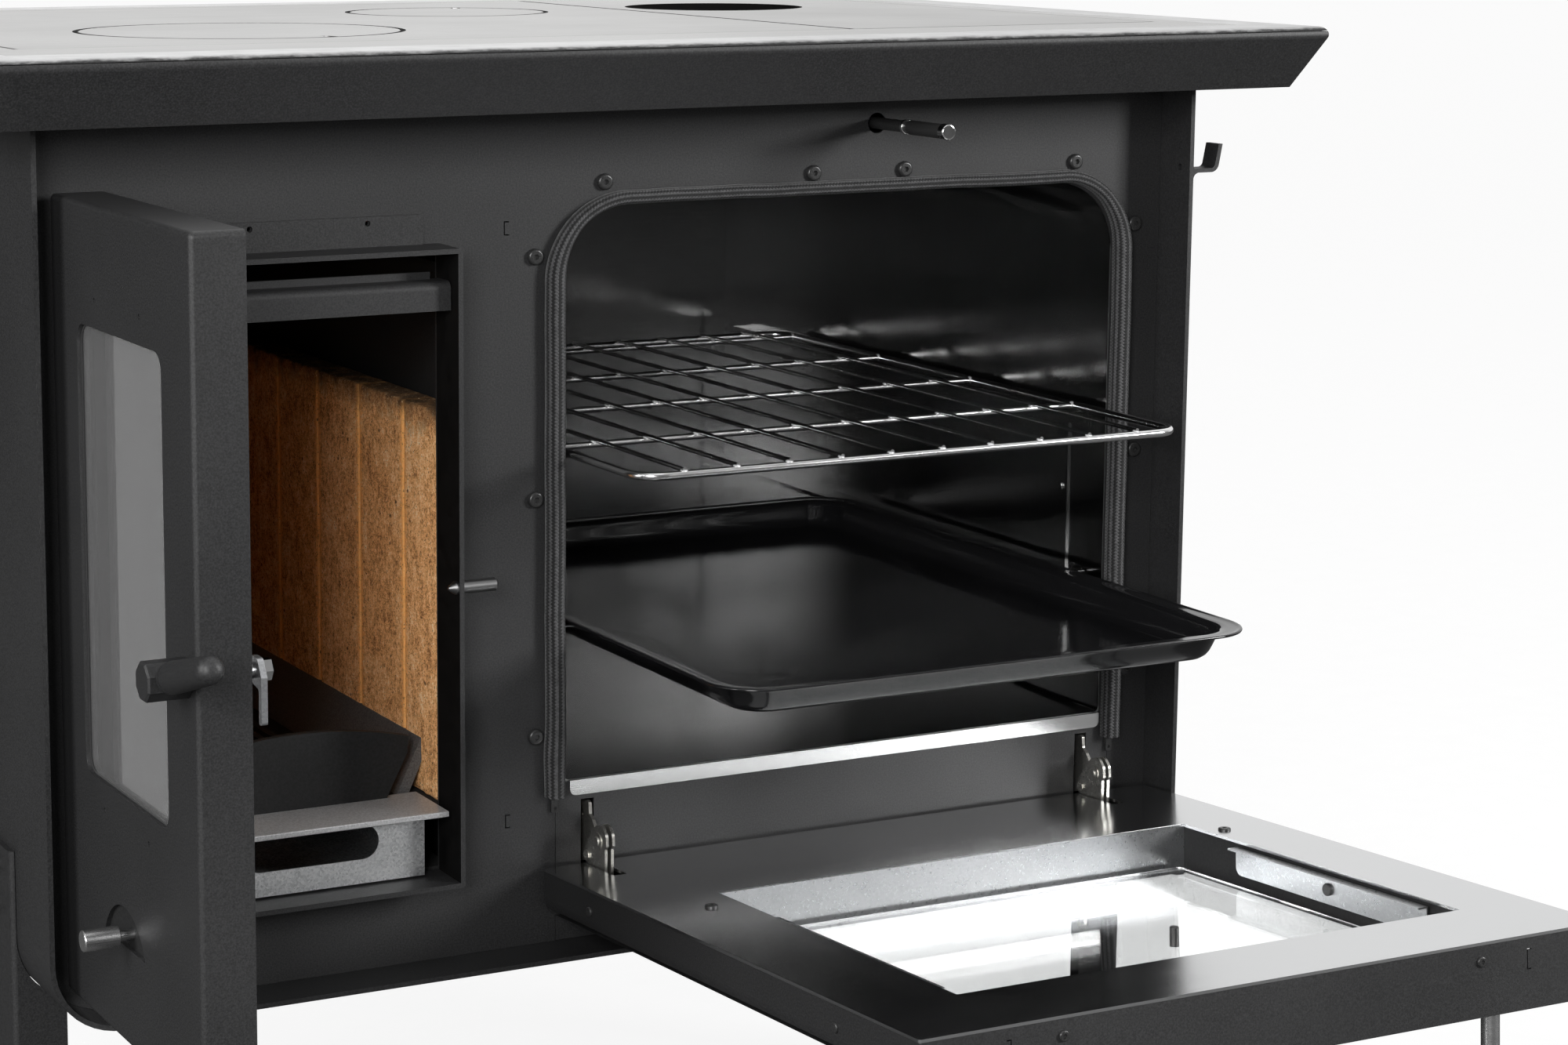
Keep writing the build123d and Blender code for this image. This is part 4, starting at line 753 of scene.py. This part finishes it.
# inset from the rim's outer edge and height below or above the rim, over the top and then back underneath
PROFILE = [(1.2, -1.25), (0.3, -0.95), (0.0, -0.2), (0.25, 0.5), (1.0, 0.9), (1.9, 0.75), (2.8, 0.35), (4.5, 0.1), (8.5, 0.0), (11.8, -0.1), (13.8, -0.7),
           (15.2, -2.0), (16.3, -4.0), (18.0, -8.0), (19.6, -12.0), (21.2, -15.4), (23.0, -17.9), (25.4, -19.7), (28.6, -20.5), (32.5, -20.7), (40.0, -20.7)]
UNDER = [(40.0, -22.0), (32.0, -22.0), (28.0, -21.8), (24.6, -20.9), (21.9, -18.9), (20.0, -16.2), (18.3, -12.4), (16.7, -8.4), (15.1, -4.6), (13.9, -2.6), (12.0, -1.5), (8.5, -1.3), (4.5, -1.3)]
tv, tf = [], []
prof = PROFILE + UNDER
for ins, z in prof:
    z += TZ
    r = max(14.0, 40.0 - ins * 0.70)
    ring_pts = rounded_ring(TX0 + ins, TX1 - ins, TY0 + ins, TY1 - ins, r)
    tv += [P(x, y, z) for x, y in ring_pts]
k = len(ring_pts)
for i in range(len(prof)):
    if i == len(PROFILE) - 1:
        continue
    j = (i + 1) % len(prof)
    for c in range(k):
        d = (c + 1) % k
        tf.append((i * k + c, i * k + d, j * k + d, j * k + c))
top_i = len(PROFILE) - 1
tf.append(tuple(top_i * k + c for c in range(k)))
tf.append(tuple((top_i + 1) * k + c for c in range(k))[::-1])
tray = obj_from("baking_tray", tv, tf, M["enamel"])
bm = bmesh.new()
bm.from_mesh(tray.data)
bmesh.ops.recalc_face_normals(bm, faces=bm.faces)
bm.to_mesh(tray.data)
bm.free()
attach(tray, "tray")
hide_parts("oven_tray")


# ------------------------------------------------------------------ weld beads on the rack
def lump(centre, size, seed):
    """Small uneven bead of weld metal."""
    vs, fs = [], []
    nu, nv = 10, 7
    for i in range(nv + 1):
        ph = math.pi * i / nv
        for j in range(nu):
            t = 2 * math.pi * j / nu
            w = 1 + 0.22 * (hash01(seed, i, j) - 0.5) * (0 < i < nv)
            vs.append((centre[0] + size[0] * w * math.sin(ph) * math.cos(t), centre[1] + size[1] * w * math.sin(ph) * math.sin(t), centre[2] + size[2] * w * math.cos(ph)))
    for i in range(nv):
        for j in range(nu):
            d = (j + 1) % nu
            fs.append((i * nu + j, (i + 1) * nu + j, (i + 1) * nu + d, i * nu + d))
    return vs, fs


wv, wf = [], []
q = 0
for x in (-17.7, 23.9, 65.4, 106.9, 147.1, 189.2, 229.9, 271.7, 312.9, 354.6):
    for y in (-69.0, 67.0, 210.0, 351.0, 495.0, 517.0):
        q += 1
        front = y < -60
        vs, fs = lump((x + 1.2 * (hash01(q, 1) - 0.5), y, 569.3 if front else 568.8), (3.0 if front else 2.5, 2.3, 1.9 if front else 1.6), q)
        off = len(wv)
        wv += [P(*p) for p in vs]
        wf += [tuple(off + i for i in f) for f in fs]
for x in (-50.0, 394.0):
    for y in (67.0, 210.0, 351.0, 495.0):
        q += 1
        vs, fs = lump((x + (2.2 if x < 0 else -2.2), y, 567.4), (2.6, 3.0, 2.6), q)
        off = len(wv)
        wv += [P(*p) for p in vs]
        wf += [tuple(off + i for i in f) for f in fs]
beads = obj_from("rack_weld_beads", wv, wf, M["weld"])
bm = bmesh.new()
bm.from_mesh(beads.data)
bmesh.ops.remove_doubles(bm, verts=bm.verts, dist=1e-6)
bmesh.ops.recalc_face_normals(bm, faces=bm.faces)
bm.to_mesh(beads.data)
bm.free()
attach(beads, "rack")


# ------------------------------------------------------------------ painted gap shadow lines round the lids and along the plate seams
def flat_ring(x, y, r0, r1, z0, z1, n=128):
    """Closed flat washer."""
    vs, fs = [], []
    for r, z in ((r0, z0), (r1, z0), (r1, z1), (r0, z1)):
        vs += [P(x + r * math.cos(2 * math.pi * i / n), y + r * math.sin(2 * math.pi * i / n), z) for i in range(n)]
    for a in range(4):
        b_ = (a + 1) % 4
        fs += [(a * n + i, a * n + (i + 1) % n, b_ * n + (i + 1) % n, b_ * n + i) for i in range(n)]
    return vs, fs


rv, rf = [], []
# near-black washers and strips laid in the lid and plate gaps: painted shadow
for x, y, r in ((-224.0, 222.0, 115.0), (36.0, 440.0, 78.0)):
    vs, fs = flat_ring(x, y, r + 0.45, r + 3.9, 858.6, 859.02)
    off = len(rv)
    rv += vs
    rf += [tuple(off + i for i in f) for f in fs]
for x0, x1, y0, y1 in ((180.6, 184.6, 52.0, 608.0), (184.0, 444.0, 48.6, 50.8)):
    off = len(rv)
    rv += [P(x, y, z) for z in (858.6, 859.02) for x, y in ((x0, y0), (x1, y0), (x1, y1), (x0, y1))]
    rf += [tuple(off + i for i in f) for f in ((0, 3, 2, 1), (4, 5, 6, 7), (0, 1, 5, 4), (1, 2, 6, 5), (2, 3, 7, 6), (3, 0, 4, 7))]
lines = obj_from("hob_gap_shadow_lines", rv, rf, M["soot_and_shadow"], False)
bm = bmesh.new()
bm.from_mesh(lines.data)
bmesh.ops.recalc_face_normals(bm, faces=bm.faces)
bm.to_mesh(lines.data)
bm.free()
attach(lines, "stove")


# ------------------------------------------------------------------ stage
def stage_all():
    me = bpy.data.meshes.new("floor")
    s = 60.0
    me.from_pydata([(-s, -s, 0), (s, -s, 0), (s, s, 0), (-s, s, 0)], [], [(0, 1, 2, 3)])
    fl = bpy.data.objects.new("floor", me)
    bpy.context.scene.collection.objects.link(fl)
    m, nt, b = new_mat("floor_pale")
    v = coord(nt)
    n1 = noise(nt, v, 30.0, 3.0, 0.5)
    nt.links.new(ramp(nt, n1, [(0.3, (0.095, 0.095, 0.095)), (0.7, (0.105, 0.105, 0.105))]), b.inputs["Base Color"])
    setv(b, Roughness=0.9, Specular_IOR_Level=0.1)
    b.inputs["Emission Color"].default_value = (1, 1, 1, 1)
    lp = nt.nodes.new("ShaderNodeLightPath")
    seen = math2(nt, "ADD", math2(nt, "MULTIPLY", lp.outputs["Is Camera Ray"], 0.88), math2(nt, "MULTIPLY", lp.outputs["Is Transmission Ray"], 1.5))
    nt.links.new(seen, b.inputs["Emission Strength"])
    me.materials.append(m)

    w = bpy.data.worlds.new("studio")
    bpy.context.scene.world = w
    w.use_nodes = True
    nt = w.node_tree
    bg = nt.nodes["Background"]
    tc = nt.nodes.new("ShaderNodeTexCoord")
    sep = nt.nodes.new("ShaderNodeSeparateXYZ")
    nt.links.new(tc.outputs["Generated"], sep.inputs[0])
    fx = maprange(nt, sep.outputs["X"], 0.0, 0.24, 0.0, 1.0)
    fy = maprange(nt, sep.outputs["Y"], -0.40, 0.10, 0.0, 1.0)
    up = maprange(nt, sep.outputs["Z"], 0.35, 0.90, 0.0, 0.35)
    f = math2(nt, "ADD", math2(nt, "ADD", math2(nt, "MULTIPLY", math2(nt, "MULTIPLY", fx, fy), 0.90), up), 0.08)
    lp = nt.nodes.new("ShaderNodeLightPath")
    seen = math2(nt, "MAXIMUM", lp.outputs["Is Camera Ray"], lp.outputs["Is Transmission Ray"])
    keep = math2(nt, "MULTIPLY", f, math2(nt, "SUBTRACT", 1.0, seen))
    nt.links.new(math2(nt, "ADD", keep, math2(nt, "MULTIPLY", seen, 1.02)), bg.inputs["Strength"])
    bg.inputs["Color"].default_value = (1, 1, 1, 1)

    def area(name, loc, target, size, power, size_y=None):
        ld = bpy.data.lights.new(name, "AREA")
        ld.shape = "RECTANGLE"
        ld.size = size
        ld.size_y = size_y or size
        ld.energy = power
        lo = bpy.data.objects.new(name, ld)
        bpy.context.scene.collection.objects.link(lo)
        lo.location = loc
        d = Vector(target) - Vector(loc)
        lo.rotation_mode = "QUATERNION"
        lo.rotation_quaternion = d.to_track_quat("-Z", "Y")
        return lo

    area("key_right", (2.95, -2.75, 1.75), (0.15, 0, 0.55), 0.8, 136, 1.2)
    area("key_left", (-2.2, -2.9, 1.65), (-0.2, 0, 0.5), 1.1, 104, 1.3)
    area("top_soft", (-0.2, -0.6, 3.4), (0.0, 0.0, 0.6), 2.2, 12)
    area("side_left", (-3.4, -0.8, 1.6), (0, 0, 0.5), 1.6, 86, 2.0)
    area("back_wash", (0.6, 3.4, 3.0), (0, 0.3, 0.2), 3.0, 12)


stage_all()

# ------------------------------------------------------------------ camera
cd = bpy.data.cameras.new("camera")
cam = bpy.data.objects.new("camera", cd)
bpy.context.scene.collection.objects.link(cam)
bpy.context.scene.camera = cam
cd.sensor_fit = "HORIZONTAL"
cd.sensor_width = 36.0
cd.lens = 4355.0 / 2000.0 * 36.0
cd.shift_x = 0.15
cd.shift_y = -0.07
cd.clip_start, cd.clip_end = 0.05, 200.0
yaw, pitch = math.radians(25.86), math.radians(-9.14)
fw = Vector((math.sin(yaw) * math.cos(pitch), math.cos(yaw) * math.cos(pitch), math.sin(pitch)))
cam.location = (-1.096, -2.184, 0.977)
cam.rotation_mode = "QUATERNION"
cam.rotation_quaternion = fw.to_track_quat("-Z", "Y")

bpy.context.scene.view_settings.view_transform = "Standard"
